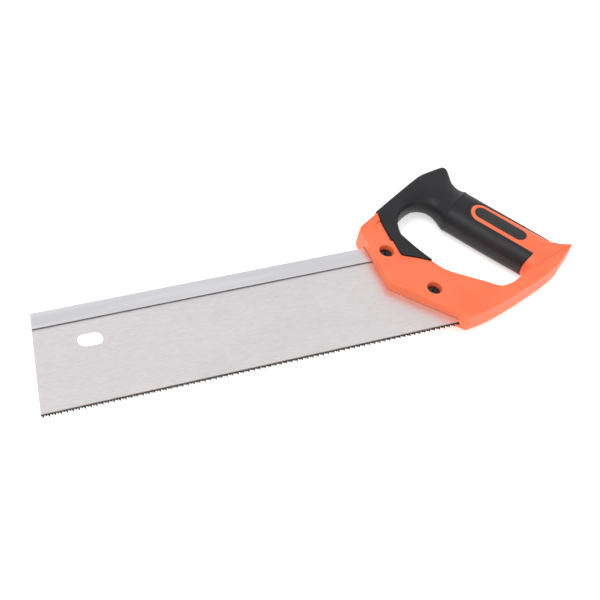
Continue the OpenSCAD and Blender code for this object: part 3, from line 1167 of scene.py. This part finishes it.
        inner_fine = smoothed(np.interp(fine_s, around, inner_around), inner_s[-1])
        shape = [smoothed(np.interp(fine_s, around, np.tile(v, 3)), 0.0) for v in values.T]
        inner_fine = inner_fine % inner_s[-1]
        outer = np.column_stack([np.interp(fine_s, outer_s, self.outer_line[:, k]) for k in (0, 1)])
        inner = np.column_stack([np.interp(inner_fine, inner_s, self.inner_line[:, k]) for k in (0, 1)])
        names = ("rear_swell", "front_swell", "plan", "along", "ease", "drop", "crest_ease")
        table = dict(zip(names, shape))
        for name, points, sign in (("outer", outer, 1), ("inner", inner, -1)):
            run = np.roll(points, -3, 0) - np.roll(points, 3, 0)
            normal = np.column_stack([run[:, 1], -run[:, 0]]) * sign
            normal /= np.linalg.norm(normal, axis=1, keepdims=True)
            table[name + "_x"], table[name + "_y"] = points.T
            table[name + "_nx"], table[name + "_ny"] = normal.T
        return {k: np.concatenate([v, v[:1]]) for k, v in table.items()}

    def on_grip(self, along: Array | float, back: Array | float) -> Array:
        """Plan point a distance along the grip from its collar, and to the rear of its middle line."""
        along, back = np.asarray(along, float), np.asarray(back, float)
        return np.array(self.grip_top) + along[..., None] * self.way + back[..., None] * self.rear

    def surface(self, t: Array, r: Array) -> Array:
        """Points of the handle's surface.

        The flat plate's section and the grip's super-ellipse are worked out side by side and mixed: the
        plan place by one weight, the height by another that may differ between rear and front.

        Args:
            t: Places round the ring, any shape; whole turns don't matter.
            r: Rows round the section, in the same shape.

        Returns:
            Points in handle millimetres, in the shape of t with a last axis of 3.
        """
        t, r = np.broadcast_arrays(np.asarray(t, float), np.asarray(r, float))
        steps = np.linspace(0, 1, len(self.lookup["plan"]))
        look = {k: np.interp(t % 1.0, steps, v) for k, v in self.lookup.items()}
        r = r % self.rows
        upper = r <= self.half_rows
        fold = np.where(upper, r, self.rows - r)
        row = np.arange(self.half_rows + 1)
        tab = {k: np.interp(fold, row, v) for k, v in self.tables.items()}
        outer_push = self.draft * tab["outer_lean"] + look["crest_ease"] * tab["outer_in"]
        inner_push = self.draft * tab["inner_lean"] + (look["ease"] - self.draft) * tab["inner_in"]
        plate = []
        for k in ("x", "y"):
            from_outer = look["outer_" + k] + look["outer_n" + k] * outer_push
            from_inner = look["inner_" + k] + look["inner_n" + k] * inner_push
            plate.append((1 - tab["across"]) * from_outer + tab["across"] * from_inner)
        plate_z = (
            self.shelf * tab["height"]
            - look["crest_ease"] * tab["outer_drop"]
            - look["drop"] * tab["inner_drop"]
        )
        cosine, sine = np.cos(tab["turn"]), np.abs(np.sin(tab["turn"]))
        wide = np.sign(cosine) * np.abs(cosine) ** (2 / self.power)
        finger = FINGER_SWELL * np.sin(np.pi * np.clip(look["along"] / self.grip_length, 0, 1)) ** 2
        half = self.grip_half + np.where(wide < 0, finger, 0)
        grip = self.on_grip(look["along"], half * wide)
        grip_z = self.crest * sine ** (2 / self.power)
        to_front = smooth_step(tab["across"])
        swell = look["rear_swell"] * (1 - to_front) + look["front_swell"] * to_front
        x = plate[0] + look["plan"] * (grip[..., 0] - plate[0])
        y = plate[1] + look["plan"] * (grip[..., 1] - plate[1])
        z = plate_z + swell * (grip_z - plate_z)
        return np.stack([x, y, np.where(upper, z, -z)], -1)

    # -- zones of the covering, as plan lines -------------------------------------------------

    def groove(self) -> Array:
        """Line between the horn cover and the guard pad, run on into the opening."""
        line = [(-22.8, 96), (-9, 100.3), (-3.2, 103.9), (-0.6, 104.4), (1.4, 102.8), (6, 94)]
        return np.array(line, float)

    def horn_front(self) -> Array:
        """Front end of the horn cover, from above the top edge down to the groove and along it."""
        return np.vstack([[(-20.6, 112), (-21.5, 104)], self.groove()])

    def pad_front(self) -> Array:
        """Front edge of the guard pad, from the groove down and across to the opening, run on past it.

        Returns:
            The line's points.
        """
        corner = rounded_corner((-22.5, 70), (-22.5, 62.8), (-11, 57.2), 2.4, 8)
        return np.vstack([[(-22.8, 96), (-23.2, 90), (-23.1, 82.5), (-23.5, 77.9), (-22.4, 77.1)], corner,
                          [(-11, 57.2), (-6.9, 54.8), (-1.9, 51.6), (1.4, 49.5)]])

    def flare(self, along: Array) -> Array:
        """How far the oval's rear edge has moved out to the rear at a distance along the grip."""
        return self.oval_flare * np.interp(along, [22, 36, 53, 62, 77], [0, 0.26, 0.42, 0.66, 1.0])

    def oval_distance(self, points: Array) -> Array:
        """Signed distance in the plan to the bare oval, which is open towards the heel.

        Args:
            points: Any array whose last axis holds x and y first.

        Returns:
            The distances.
        """
        away = points[..., :2] - np.array(self.grip_top)
        along, back = away @ self.way, away @ self.rear
        before = np.minimum(along - self.badge_start, 0)
        return np.hypot(before, back) - self.oval_radius - self.flare(along) * (back > 0)

    def sleeve_end(self, back: Array) -> Array:
        """Distance along the grip at which the sleeve's front half ends, shorter towards the opening."""
        share = np.clip((-np.asarray(back, float) - self.oval_radius) / (17 - self.oval_radius), 0, 1)
        return self.grip_length + 1.2 - 2.4 * share**1.5

    def along_grip(self, points: Array) -> Array:
        """Distance of points from the collar, measured along the grip's middle line."""
        return (points[..., :2] - np.array(self.grip_top)) @ self.way

    def covered(self) -> Array:
        """Plan polygon that holds the three covers, without the oval that is left bare.

        Returns:
            The polygon's corners.
        """
        rear, length = 32.0, self.grip_length
        back = np.array([-rear, -17.5, -17, -15, -12, -9.5, -8.7, -8.0])
        front = self.on_grip(self.sleeve_end(back), back)
        strip = self.on_grip(np.full(2, length + self.strip_run), np.array([0, rear]))
        return np.vstack([[(-20.6, 112), (-21.5, 104)], self.pad_front()[:-1], [(5, 53)], front, strip,
                          [(60, 160), (-20.6, 160)]])

    def joint_distance(self, points: Array) -> Array:
        """Signed distance in the plan from the covering: negative under it, positive on bare plastic."""
        return np.maximum(signed_distance(points, self.covered()), -self.oval_distance(points))


# ---------------------------------------------------------------- handle pieces


@dataclass
class HandleCore:
    """The orange plastic core: the whole handle form, with its slot, socket, counterbores and pockets."""

    place: Place
    form: HandleForm
    columns: int = 520
    bolts: tuple = BOLTS
    sink_radius: float = 5.35
    sink_floor: float = 3.3
    shank_radius: float = 3.3
    slot_half: float = 0.62
    pocket_radius: float = 5.5
    pocket_depth: float = 1.5
    dish_centre: tuple = HOLLOW_CENTRE
    dish_radius: float = 10.5
    dish_depth: float = 0.5
    seam_width: float = 0.9
    seam_depth: float = 1.3

    def counterbore(self, centre: tuple) -> tuple[Array, list]:
        """Turned cutter of both counterbores and the hole between them, flared for soft rims.

        Args:
            centre: Middle of the bolt in the plan.

        Returns:
            Vertex places and faces.
        """
        deep, wide, thin = self.sink_floor, self.sink_radius, self.shank_radius
        shelf = self.form.shelf
        up = [(thin, 0), (thin, deep), (wide, deep), (wide, shelf - 0.3), (wide + 0.05, shelf - 0.1),
              (wide + 0.2, shelf + 0.02), (wide + 0.9, shelf + 0.4), (wide + 0.9, shelf + 3)]
        down = [(r, -z) for r, z in up[:0:-1]]
        profile = np.array([(0, -shelf - 3)] + down + up[1:] + [(0, shelf + 3)], float)
        return turned(profile, np.array(centre), 72)

    def slot(self) -> tuple[Array, Array]:
        """Box-like cutter of the blade's slot, open at the front and below.

        Returns:
            Vertex places and faces.
        """
        edge = [(-60, -8), (-4.8, -8), (-4.8, 7.3), (8.5, 15.8), (-3.5, 41), (-17.5, 58), (-21.5, 74),
                (-21.5, 80.8), (-60, 80.8)]
        edge = np.array(edge, float)
        return self.prism(edge, -self.slot_half, self.slot_half)

    def socket(self) -> tuple[Array, Array]:
        """Cutter of the notch that takes the folded back."""
        edge = np.array([(-60, 67.5), (-37.2, 67.5), (-37.2, 81.9), (-60, 81.9)], float)
        return self.prism(edge, -1.85, 1.85)

    def prism(self, edge: Array, low: float, high: float) -> tuple[Array, list]:
        """Straight prism over a plan polygon between two heights.

        Args:
            edge: The polygon's corners.
            low: Height of the lower end.
            high: Height of the upper end.

        Returns:
            Vertex places and faces.
        """
        count = len(edge)
        rings = np.vstack([np.column_stack([edge, np.full(count, z)]) for z in (low, high)])
        faces = grid_faces(2, count, wrap_columns=True).tolist()
        return rings, faces + [list(range(count)), list(range(count, 2 * count))]

    def pocket(self, side: int) -> tuple[Array, list]:
        """Prism of the badge's pocket on one face of the grip.

        Args:
            side: 1 for the upper face, -1 for the lower.

        Returns:
            Vertex places and faces.
        """
        angle = np.linspace(-np.pi / 2, np.pi / 2, 25)
        ends = []
        for start, flip in ((self.form.badge_start + self.form.badge_run, 1), (self.form.badge_start, -1)):
            along = start + flip * self.pocket_radius * np.cos(angle)
            ends.append(self.form.on_grip(along, flip * self.pocket_radius * np.sin(angle)))
        low, high = self.form.crest - self.pocket_depth, self.form.crest + 3
        return self.prism(np.vstack(ends), *((low, high) if side > 0 else (-high, -low)))

    def dish(self, side: int) -> tuple[Array, list]:
        """Shallow round hollow for the thumb beside the pad, on one face.

        Args:
            side: 1 for the upper face, -1 for the lower.

        Returns:
            Vertex places and faces.
        """
        wide, floor = self.dish_radius, self.form.shelf - self.dish_depth
        profile = [(0, floor), (wide - 0.7, floor), (wide - 0.4, floor - 0.2), (wide - 0.05, floor - 0.2),
                   (wide, self.form.shelf + 0.02),
                   (wide, self.form.shelf + 2), (0, self.form.shelf + 2)]
        return turned(np.array(profile, float) * np.array([1, side]), np.array(self.dish_centre), 96)

    def seam(self, side: int) -> tuple[Array, list]:
        """Strip-shaped cutter of the groove between the horn cover and the pad, on one face.

        Args:
            side: 1 for the upper face, -1 for the lower.

        Returns:
            Vertex places and faces.
        """
        line = self.form.groove()[:4]
        way = np.gradient(line, axis=0)
        across = np.stack([-way[:, 1], way[:, 0]], 1) / np.linalg.norm(way, axis=1)[:, None]
        edge = np.vstack([line + across * self.seam_width / 2, (line - across * self.seam_width / 2)[::-1]])
        low, high = self.form.shelf - self.seam_depth, self.form.shelf + 3
        return self.prism(edge, *((low, high) if side > 0 else (-high, -low)))

    def build(self, material: bpy.types.Material) -> bpy.types.Object:
        """Makes the core from the form, cuts it, and stores each vertex's distance from the covering.

        Args:
            material: Material that the piece gets.

        Returns:
            The piece.
        """
        t = np.arange(self.columns) / self.columns
        r = np.arange(self.form.rows)
        points = self.form.surface(t[:, None], r[None, :])
        faces = grid_faces(self.columns, self.form.rows, True, True)
        piece = new_piece("handle_core_plastic", self.place.handle(points.reshape(-1, 3)), faces)
        cutters = [self.slot(), self.socket(), self.pocket(1), self.pocket(-1)]
        cutters += [self.counterbore(b) for b in self.bolts] + [self.dish(1), self.dish(-1)]
        cutters += [self.seam(1), self.seam(-1)]
        for number, (spots, rows) in enumerate(cutters):
            cut_away(piece, new_piece(f"cutter_{number}", self.place.handle(spots), rows))
        sharpen(piece, 42)
        flat = np.empty(len(piece.data.vertices) * 3, np.float32)
        piece.data.vertices.foreach_get("co", flat)
        local = (flat.reshape(-1, 3) - self.place.origin) / MM - np.array([self.place.heel, 0, 0])
        away = self.form.joint_distance(local).astype(np.float32)
        layer = piece.data.attributes.new("joint_distance", "FLOAT", "POINT")
        layer.data.foreach_set("value", away)
        dress(piece, material, Slot.HANDLE, "handle_core")
        return piece


@dataclass
class CoverShell:
    """Common ways of the three soft covers: each is a patch of the handle's surface with rounded rims."""

    place: Place
    form: HandleForm
    proud: float = 0.3
    rim: float = 0.55
    sunk: float = 0.7
    depth: float = 1.1
    setback: float = 0.16
    seam: float = 0.45

    def lifted(self, points: Array, rim_distance: Array, extra: Array | float = 0.0) -> tuple[Array, Array]:
        """Outer and inner skin of a patch.

        The outer skin stands proud of the form.  Within the rim's width of an end it falls off as a
        quarter circle to below the form's surface.  The inner skin lies at an even depth.

        Args:
            points: Grid on the form's surface.
            rim_distance: Distance of each grid point from the nearest end of the cover.
            extra: Height added to the standing height, per grid point.

        Returns:
            Two grids.
        """
        normal = grid_normals(points)
        share = np.clip(rim_distance / self.rim, 0, 1)
        lift = -self.sunk + (self.proud + extra + self.sunk) * np.sqrt(1 - (1 - share) ** 2)
        return points + normal * lift[..., None], points - normal * self.depth

    def crossing(self, t: Array, rows: Array, inside: Callable[[Array], Array]) -> Array:
        """For each row, the place t at which the surface first comes inside a zone.

        Args:
            t: Increasing places round the ring to search.
            rows: Rows of the section, one per crossing.
            inside: Function of points that is negative inside the zone.

        Returns:
            One place per row.
        """
        spots = self.form.surface(t[:, None], rows[None, :])
        value = inside(spots)
        hit = np.argmax(value < 0, axis=0)
        before = np.maximum(hit - 1, 0)
        column = np.arange(len(rows))
        a, b = value[before, column], value[hit, column]
        share = np.where(a > 0, a / np.maximum(a - b, 1e-9), 0.0)
        return t[before] + share * (t[hit] - t[before])

    def station_t(self, point: tuple) -> float:
        """Place round the ring whose outer point is nearest to a plan point.

        Args:
            point: The plan point.

        Returns:
            Place from 0 to 1.
        """
        look = self.form.lookup
        away = np.hypot(look["outer_x"] - point[0], look["outer_y"] - point[1])
        return float(np.argmin(away) / (len(away) - 1))

    def finished(
        self, name: str, points: Array, faces: Array, material: bpy.types.Material, node: str
    ) -> bpy.types.Object:
        """Makes the piece and dresses it.

        Args:
            name: Name of the piece.
            points: Vertex places in handle millimetres.
            faces: Quads.
            material: The cover's material.
            node: CAD node that the piece replaces.

        Returns:
            The piece.
        """
        piece = new_piece(name, self.place.handle(points), faces)
        sharpen(piece, 60)
        dress(piece, material, Slot.COVER, node)
        return piece


@dataclass
class HornCover(CoverShell):
    """Cover of the horn: a closed sleeve from its front end to the grip's collar."""

    proud: float = 0.22
    columns: int = 90

    def build(self, material: bpy.types.Material) -> bpy.types.Object:
        """Makes the cover: each row starts where the surface passes the front line and ends at the collar.

        Args:
            material: Material that the piece gets.

        Returns:
            The piece.
        """
        form = self.form
        rows = np.arange(form.rows, dtype=float)
        start, end = self.station_t((-41.7, 86)), self.station_t((62, 94))
        search = np.linspace(start, end, 1200)
        across = form.on_grip(np.ones(2), np.array([-40, 60]))
        zone = np.vstack([form.horn_front(), across, [(60, 170), (-20.6, 170)]])
        first = self.crossing(search, rows, lambda p: signed_distance(p, zone))
        search = np.linspace(self.station_t((50.3, 134)), end, 900)
        last = self.crossing(search, rows, lambda p: 0.6 - form.along_grip(p))
        share = eased_places(self.columns, 0.8, 110)
        t = first[None, :] + share[:, None] * (last - first)[None, :]
        points = form.surface(t, rows[None, :])
        edge = distance_to_line(points, form.horn_front())
        outer, inner = self.lifted_ring(points, edge - self.seam)
        count = len(share)
        skin = grid_faces(count, form.rows, wrap_columns=True)
        size = count * form.rows
        ends = []
        for base in (0, (count - 1) * form.rows):
            k = base + np.arange(form.rows)
            n = base + (np.arange(form.rows) + 1) % form.rows
            ends.append(np.stack([k, n, n + size, k + size], 1))
        faces = np.vstack([skin, skin[:, ::-1] + size, *ends])
        spots = np.concatenate([outer.reshape(-1, 3), inner.reshape(-1, 3)])
        return self.finished("horn_cover_rubber", spots, faces, material, "horn_cover")

    def lifted_ring(self, points: Array, rim: Array) -> tuple[Array, Array]:
        """Skins of a patch whose rows are closed loops round the section.

        Args:
            points: Grid of the patch, one loop per row.
            rim: Distance of each grid point from the nearest end of the cover.

        Returns:
            The outer and the inner skin.
        """
        padded = np.concatenate([points[:, -2:], points, points[:, :2]], 1)
        rim = np.concatenate([rim[:, -2:], rim, rim[:, :2]], 1)
        outer, inner = self.lifted(padded, rim)
        return outer[:, 2:-2], inner[:, 2:-2]


@dataclass
class GuardPad(CoverShell):
    """Pad on the front wall of the opening, from its front edge on one face to that on the other."""

    proud: float = 0.26
    columns: int = 80
    across: int = 44
    hollow: float = 0.2
    hollow_radius: float = 10.2
    hollow_ease: float = 0.6

    def build(self, material: bpy.types.Material) -> bpy.types.Object:
        """Makes the pad: rows run from edge to edge over the inner wall, and end at the groove.

        Args:
            material: Material that the piece gets.

        Returns:
            The piece.
        """
        form = self.form
        middle = float(form.half_rows)
        low, high = self.station_t((-27, 27.2)), self.station_t((-10, 111.7)) + 1.0
        t = np.linspace(low, high, 900)
        reach = np.linspace(0, form.face_rows + form.ease_rows + form.wall_rows, 400)
        line = np.vstack([form.pad_front(), [(40, 40)], [(40, 130)], [(-22.8, 130)]])
        spots = form.surface(t[:, None], middle - reach[None, :])
        inside = signed_distance(spots, line) < 0
        depth = reach[np.maximum(np.argmin(inside, axis=1) - 1, 0)]
        depth = np.where(inside.all(axis=1), reach[-1], depth)
        share = eased_places(self.across, 0.6, 30) * 2 - 1
        zone = np.vstack([form.groove(), [(6, 30)], [(-22.8, 30)]])
        grid = form.surface(t[:, None], middle + share[None, :] * depth[:, None])
        below = signed_distance(grid, zone) < 0
        starts = np.argmax(depth > form.wall_rows + 0.5)
        last = t[np.maximum(below.shape[0] - 1 - np.argmax(below[::-1], axis=0), starts + 1)]
        run = eased_places(self.columns, 0.8, 60)
        place = t[starts] + run[:, None] * (last - t[starts])[None, :]
        reach_at = np.interp(place, t, depth)
        points = form.surface(place, middle + share[None, :] * reach_at)
        groove = distance_to_line(points, form.groove()) - self.seam
        rim = np.minimum(groove, distance_to_line(points, form.pad_front()) - self.setback)
        away = np.linalg.norm(points[..., :2] - np.array(HOLLOW_CENTRE), axis=-1)
        level = self.hollow * (smooth_step((away - self.hollow_radius) / self.hollow_ease) - 1)
        outer, inner = self.lifted(points, rim, level)
        spots, faces = closed_sheet(outer, inner)
        return self.finished("guard_pad_rubber", spots, faces, material, "guard_pad")


@dataclass
class GripSleeve(CoverShell):
    """Sleeve round the grip, open in an oval on each face, with a strip that runs on at the rear."""

    proud: float = 0.45
    sunk: float = 1.5
    depth: float = 1.9
    collar_rim: float = 0.55
    lip: float = 0.14
    corner: float = 2.2
    across: int = 46

    def half(self, front: bool) -> tuple[Array, Array]:
        """One half of the sleeve, over the front or the rear side, from the collar to its lower end.

        Columns go along the grip.  Rows go round the side from the oval's edge on one face to that on
        the other; above the oval they start at the middle of the face.

        Args:
            front: Whether this is the half on the side of the opening.

        Returns:
            The outer and inner skin.
        """
        form = self.form
        length = form.grip_length + (0 if front else form.strip_run)
        top = form.badge_start - form.oval_radius
        angle = np.linspace(0, np.pi / 2, 17)
        upper = eased_places(12, 2.4, top + 0.3) * (top + 0.3) - 0.3
        arc = form.badge_start - form.oval_radius * np.cos(angle[1:])
        below = length - form.badge_start
        lower = form.badge_start + eased_places(40, 2.6, below) * below
        along = np.unique(np.round(np.concatenate([upper, arc, lower[8:]]), 5))
        before = np.minimum(along - form.badge_start, 0)
        edge = np.sqrt(np.maximum(form.oval_radius**2 - before**2, 0))
        edge = edge + (0 if front else 1) * form.flare(along)
        side = -1.0 if front else 1.0
        share = eased_places(self.across, 2.6, 36)
        wide_start = np.clip(edge / form.grip_half, 0, 1)
        turn_start = np.arccos(wide_start ** (form.power / 2))
        turn = turn_start[:, None] * (1 - 2 * share[None, :])
        wide = np.abs(np.cos(turn)) ** (2 / form.power)
        tall = np.sign(np.sin(turn)) * np.abs(np.sin(turn)) ** (2 / form.power)
        fade = smooth_step((along - form.grip_length) / (form.strip_run + 8))[:, None]
        finger = FINGER_SWELL * np.sin(np.pi * np.clip(along / form.grip_length, 0, 1)) ** 2
        half = form.grip_half + (finger if front else 0 * finger)
        back = side * half[:, None] * wide
        end = form.sleeve_end(back) if front else np.full_like(back, length)
        tail = np.clip((along - form.badge_start) / (length - form.badge_start), 0, 1)[:, None]
        run = along[:, None] + tail * (end - length)
        plan = form.on_grip(run, back)
        height = form.crest * tall * (1 - 0.2 * fade)
        points = np.concatenate([plan, height[..., None]], -1)
        away = np.clip(self.corner - np.stack([form.oval_distance(points), end - run]), 0, None)
        rim = self.corner - np.hypot(*away) - self.setback
        rim = np.minimum(rim, (run + 0.3) * self.rim / self.collar_rim)
        ridge = self.lip * np.exp(-(((run - 0.7) / 0.8) ** 2))
        if front:
            points, rim, ridge = points[:, ::-1], rim[:, ::-1], ridge[:, ::-1]
        return self.lifted(points, rim, ridge)

    def build(self, material: bpy.types.Material) -> bpy.types.Object:
        """Makes both halves, which meet along the middle lines above the ovals, and joins them in one mesh.

        Args:
            material: The cover's material.

        Returns:
            The piece.
        """
        skins = [self.half(True), self.half(False)]
        spots, faces, base = [], [], 0
        for outer, inner in skins:
            points, quads = closed_sheet(outer, inner)
            spots.append(points)
            faces.append(quads + base)
            base += len(points)
        return self.finished(
            "grip_sleeve_rubber", np.vstack(spots), np.vstack(faces), material, "grip_sleeve"
        )


@dataclass
class Badge:
    """Plain crowned plate in the oval of one face of the grip."""

    place: Place
    form: HandleForm
    side: int
    radius: float = 5.15
    proud: float = 0.22
    thickness: float = 1.3

    def build(self, name: str, material: bpy.types.Material, node: str) -> bpy.types.Object:
        """Makes the plate from loops of the capsule outline that shrink towards its middle line.

        Args:
            name: Name of the piece.
            material: Material that the piece gets.
            node: CAD node that the piece replaces.

        Returns:
            The piece.
        """
        form = self.form
        shares = np.array([1, 1, 0.985, 0.955, 0.92, 0.87, 0.855, 0.84, 0.82, 0.6, 0.4, 0.2, 0.0])
        lifts = np.array([-self.thickness, -0.35, -0.14, -0.04, 0, 0, -0.03, -0.14] + [-0.16] * 5)
        angle = np.linspace(-np.pi / 2, np.pi / 2, 29)
        run = np.linspace(0, 1, 22)[1:-1]
        rings = []
        for share, lift in zip(shares, lifts):
            radius = self.radius * share
            far = form.badge_start + form.badge_run
            along = np.concatenate([
                far + radius * np.cos(angle), far - form.badge_run * run,
                form.badge_start - radius * np.cos(angle), form.badge_start + form.badge_run * run])
            back = np.concatenate([
                radius * np.sin(angle), np.full(20, radius), -radius * np.sin(angle), np.full(20, -radius)])
            level = form.crest * (1 - (np.abs(back) / form.grip_half) ** form.power) ** (1 / form.power)
            height = level + self.proud + lift
            rings.append(np.column_stack([form.on_grip(along, back), self.side * height]))
        loop = np.stack(rings)
        faces = grid_faces(len(rings), loop.shape[1], wrap_columns=True).tolist()
        faces.append(list(range(loop.shape[1])))
        piece = new_piece(name, self.place.handle(loop.reshape(-1, 3)), faces, 0.00001)
        sharpen(piece, 50)
        dress(piece, material, Slot.COVER, node)
        return piece


@dataclass
class Fastener:
    """Cross-recess screw or sleeve nut: a low domed head in its counterbore, and a shank or barrel."""

    place: Place
    centre: tuple
    side: int
    shank: float
    reach: float
    head_radius: float = 4.8
    head_height: float = 1.4
    seat: float = 3.3
    recess: float = 2.7
    recess_width: float = 1.05

    def build(self, name: str, material: bpy.types.Material, node: str) -> bpy.types.Object:
        """Turns the fastener's profile, and cuts a tapered cross into the head.

        Args:
            name: Name of the piece.
            material: Material that the piece gets.
            node: CAD node that the piece replaces.

        Returns:
            The piece.
        """
        top = self.seat + self.head_height
        big, neck = self.head_radius, self.shank
        profile = [(0, -self.reach), (neck - 0.3, -self.reach), (neck, -self.reach + 0.3), (neck, self.seat),
                   (big - 0.15, self.seat), (big, self.seat + 0.15), (big, self.seat + 0.55),
                   (big - 0.12, self.seat + 0.85), (big - 0.6, top - 0.22), (big - 1.6, top - 0.06), (0, top)]
        profile = np.array(profile, float) * np.array([1, self.side])
        spots, faces = turned(profile, np.array(self.centre), 64)
        piece = new_piece(name, self.place.handle(spots), faces)
        for turn in (0.35, 0.35 + np.pi / 2):
            cut_away(piece, self.cross_arm(turn, top))
        sharpen(piece, 35)
        dress(piece, material, Slot.SCREW, node)
        return piece

    def cross_arm(self, turn: float, top: float) -> bpy.types.Object:
        """One arm of the cross recess: a bar that narrows downwards.

        Args:
            turn: Angle of the arm in radians.
            top: Height of the top of the head.

        Returns:
            The cutter.
        """
        levels = np.array([[top - 0.95, 0.35, 0.55], [top + 0.5, 1.05, 1.15]])
        corners = np.array([[-1, -1], [1, -1], [1, 1], [-1, 1]], float)
        way = np.array([[np.cos(turn), np.sin(turn)], [-np.sin(turn), np.cos(turn)]])
        rings = []
        for height, long_share, wide_share in levels:
            plan = corners * np.array([self.recess * long_share, self.recess_width / 2 * wide_share]) @ way
            rings.append(np.column_stack([plan + np.array(self.centre), np.full(4, height * self.side)]))
        faces = grid_faces(2, 4, wrap_columns=True).tolist() + [[0, 1, 2, 3], [4, 5, 6, 7]]
        return new_piece("cross_arm", self.place.handle(np.vstack(rings)), faces)


# ---------------------------------------------------------------- studio


@dataclass
class Studio:
    """Pale floor, soft lights and the camera."""

    eye: tuple = (-0.46564, -0.64314, 0.85032)
    right: tuple = (0.89692, -0.39755, 0.19360)
    up: tuple = (0.18599, 0.73639, 0.65049)
    lens: float = 101.06

    def floor(self) -> None:
        """Lays a wide pale floor at the height that the saw rests on."""
        span = 6.0
        corners = np.array([[-1, -1, 0], [1, -1, 0], [1, 1, 0], [-1, 1, 0]], float) * span
        mesh = bpy.data.meshes.new("floor")
        mesh.from_pydata(corners.tolist(), [], [(0, 1, 2, 3)])
        piece = bpy.data.objects.new("floor", mesh)
        bpy.context.scene.collection.objects.link(piece)
        g = Graph("pale_floor")
        g.join(Base_Color=(0.9, 0.9, 0.9), Roughness=0.9, Specular_IOR_Level=0.1)
        g.join(Emission_Color=(1.0, 1.0, 1.0), Emission_Strength=0.55)
        mesh.materials.append(g.material)

    def lamp(self, name: str, at: tuple, size: float, power: float, aim: tuple = (0, 0, 0)) -> None:
        """Hangs a square soft light that faces a point.

        Args:
            name: Name of the light.
            at: Its place, in metres.
            size: Its side length, in metres.
            power: Its power, in watts.
            aim: The point that it faces.
        """
        data = bpy.data.lights.new(name, "AREA")
        data.shape, data.size, data.energy = "SQUARE", size, power
        lamp = bpy.data.objects.new(name, data)
        lamp.location = at
        lamp.rotation_mode = "QUATERNION"
        lamp.rotation_quaternion = (Vector(aim) - Vector(at)).to_track_quat("-Z", "Y")
        bpy.context.scene.collection.objects.link(lamp)

    def lights(self) -> None:
        """Sets an even white surround and an overhead softbox."""
        world = bpy.data.worlds.new("surround")
        world.use_nodes = True
        world.node_tree.nodes["Background"].inputs[0].default_value = (1, 1, 1, 1)
        world.node_tree.nodes["Background"].inputs[1].default_value = 0.8
        bpy.context.scene.world = world
        self.lamp("overhead_softbox", (-0.65, -0.1, 1.35), 0.55, 7.0, (0.12, 0.02, 0))

    def camera(self) -> None:
        """Sets the camera at its place, with its axes given by its right and up directions."""
        data = bpy.data.cameras.new("camera")
        data.sensor_width = 36.0
        data.lens = self.lens
        data.clip_start, data.clip_end = 0.05, 30.0
        camera = bpy.data.objects.new("camera", data)
        right, up = Vector(self.right), Vector(self.up)
        back = right.cross(up)
        turn = Matrix((right, up, back)).transposed().to_4x4()
        camera.matrix_world = Matrix.Translation(Vector(self.eye)) @ turn
        bpy.context.scene.collection.objects.link(camera)
        bpy.context.scene.camera = camera

    def build(self) -> None:
        """Makes the floor, the lights and the camera, and keeps colours as they are lit."""
        self.floor()
        self.lights()
        self.camera()
        scene = bpy.context.scene
        scene.view_settings.view_transform = "Standard"
        scene.view_settings.look = "None"


def main() -> None:
    """Builds the studio and the saw's sub-assemblies in order."""
    logging.basicConfig(level=logging.INFO, format="%(name)s %(message)s", stream=sys.stdout)
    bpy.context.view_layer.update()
    Studio().build()
    place = Place.read()
    form = HandleForm()
    Blade(place).build(BladeSteel().build(place))
    FoldedBack(place).build(BackSteel().build(place))
    HandleCore(place, form).build(OrangePlastic().build(place))
    rubber = SoftCover().build()
    HornCover(place, form).build(rubber)
    GuardPad(place, form).build(rubber)
    GripSleeve(place, form).build(rubber)
    badge = BadgeFinish().build()
    Badge(place, form, 1).build("right_badge_plate", badge, "right_badge")
    Badge(place, form, -1).build("left_badge_plate", badge, "left_badge")
    black = BlackSteel().build()
    for level, centre in zip(("upper", "lower"), BOLTS):
        Fastener(place, centre, 1, 2.0, 2.7).build(f"{level}_cross_screw", black, f"{level}_screw")
        nut = Fastener(place, centre, -1, 3.2, 2.9)
        nut.build(f"{level}_sleeve_nut_barrel", black, f"{level}_sleeve_nut")


if __name__ == "__main__":
    main()
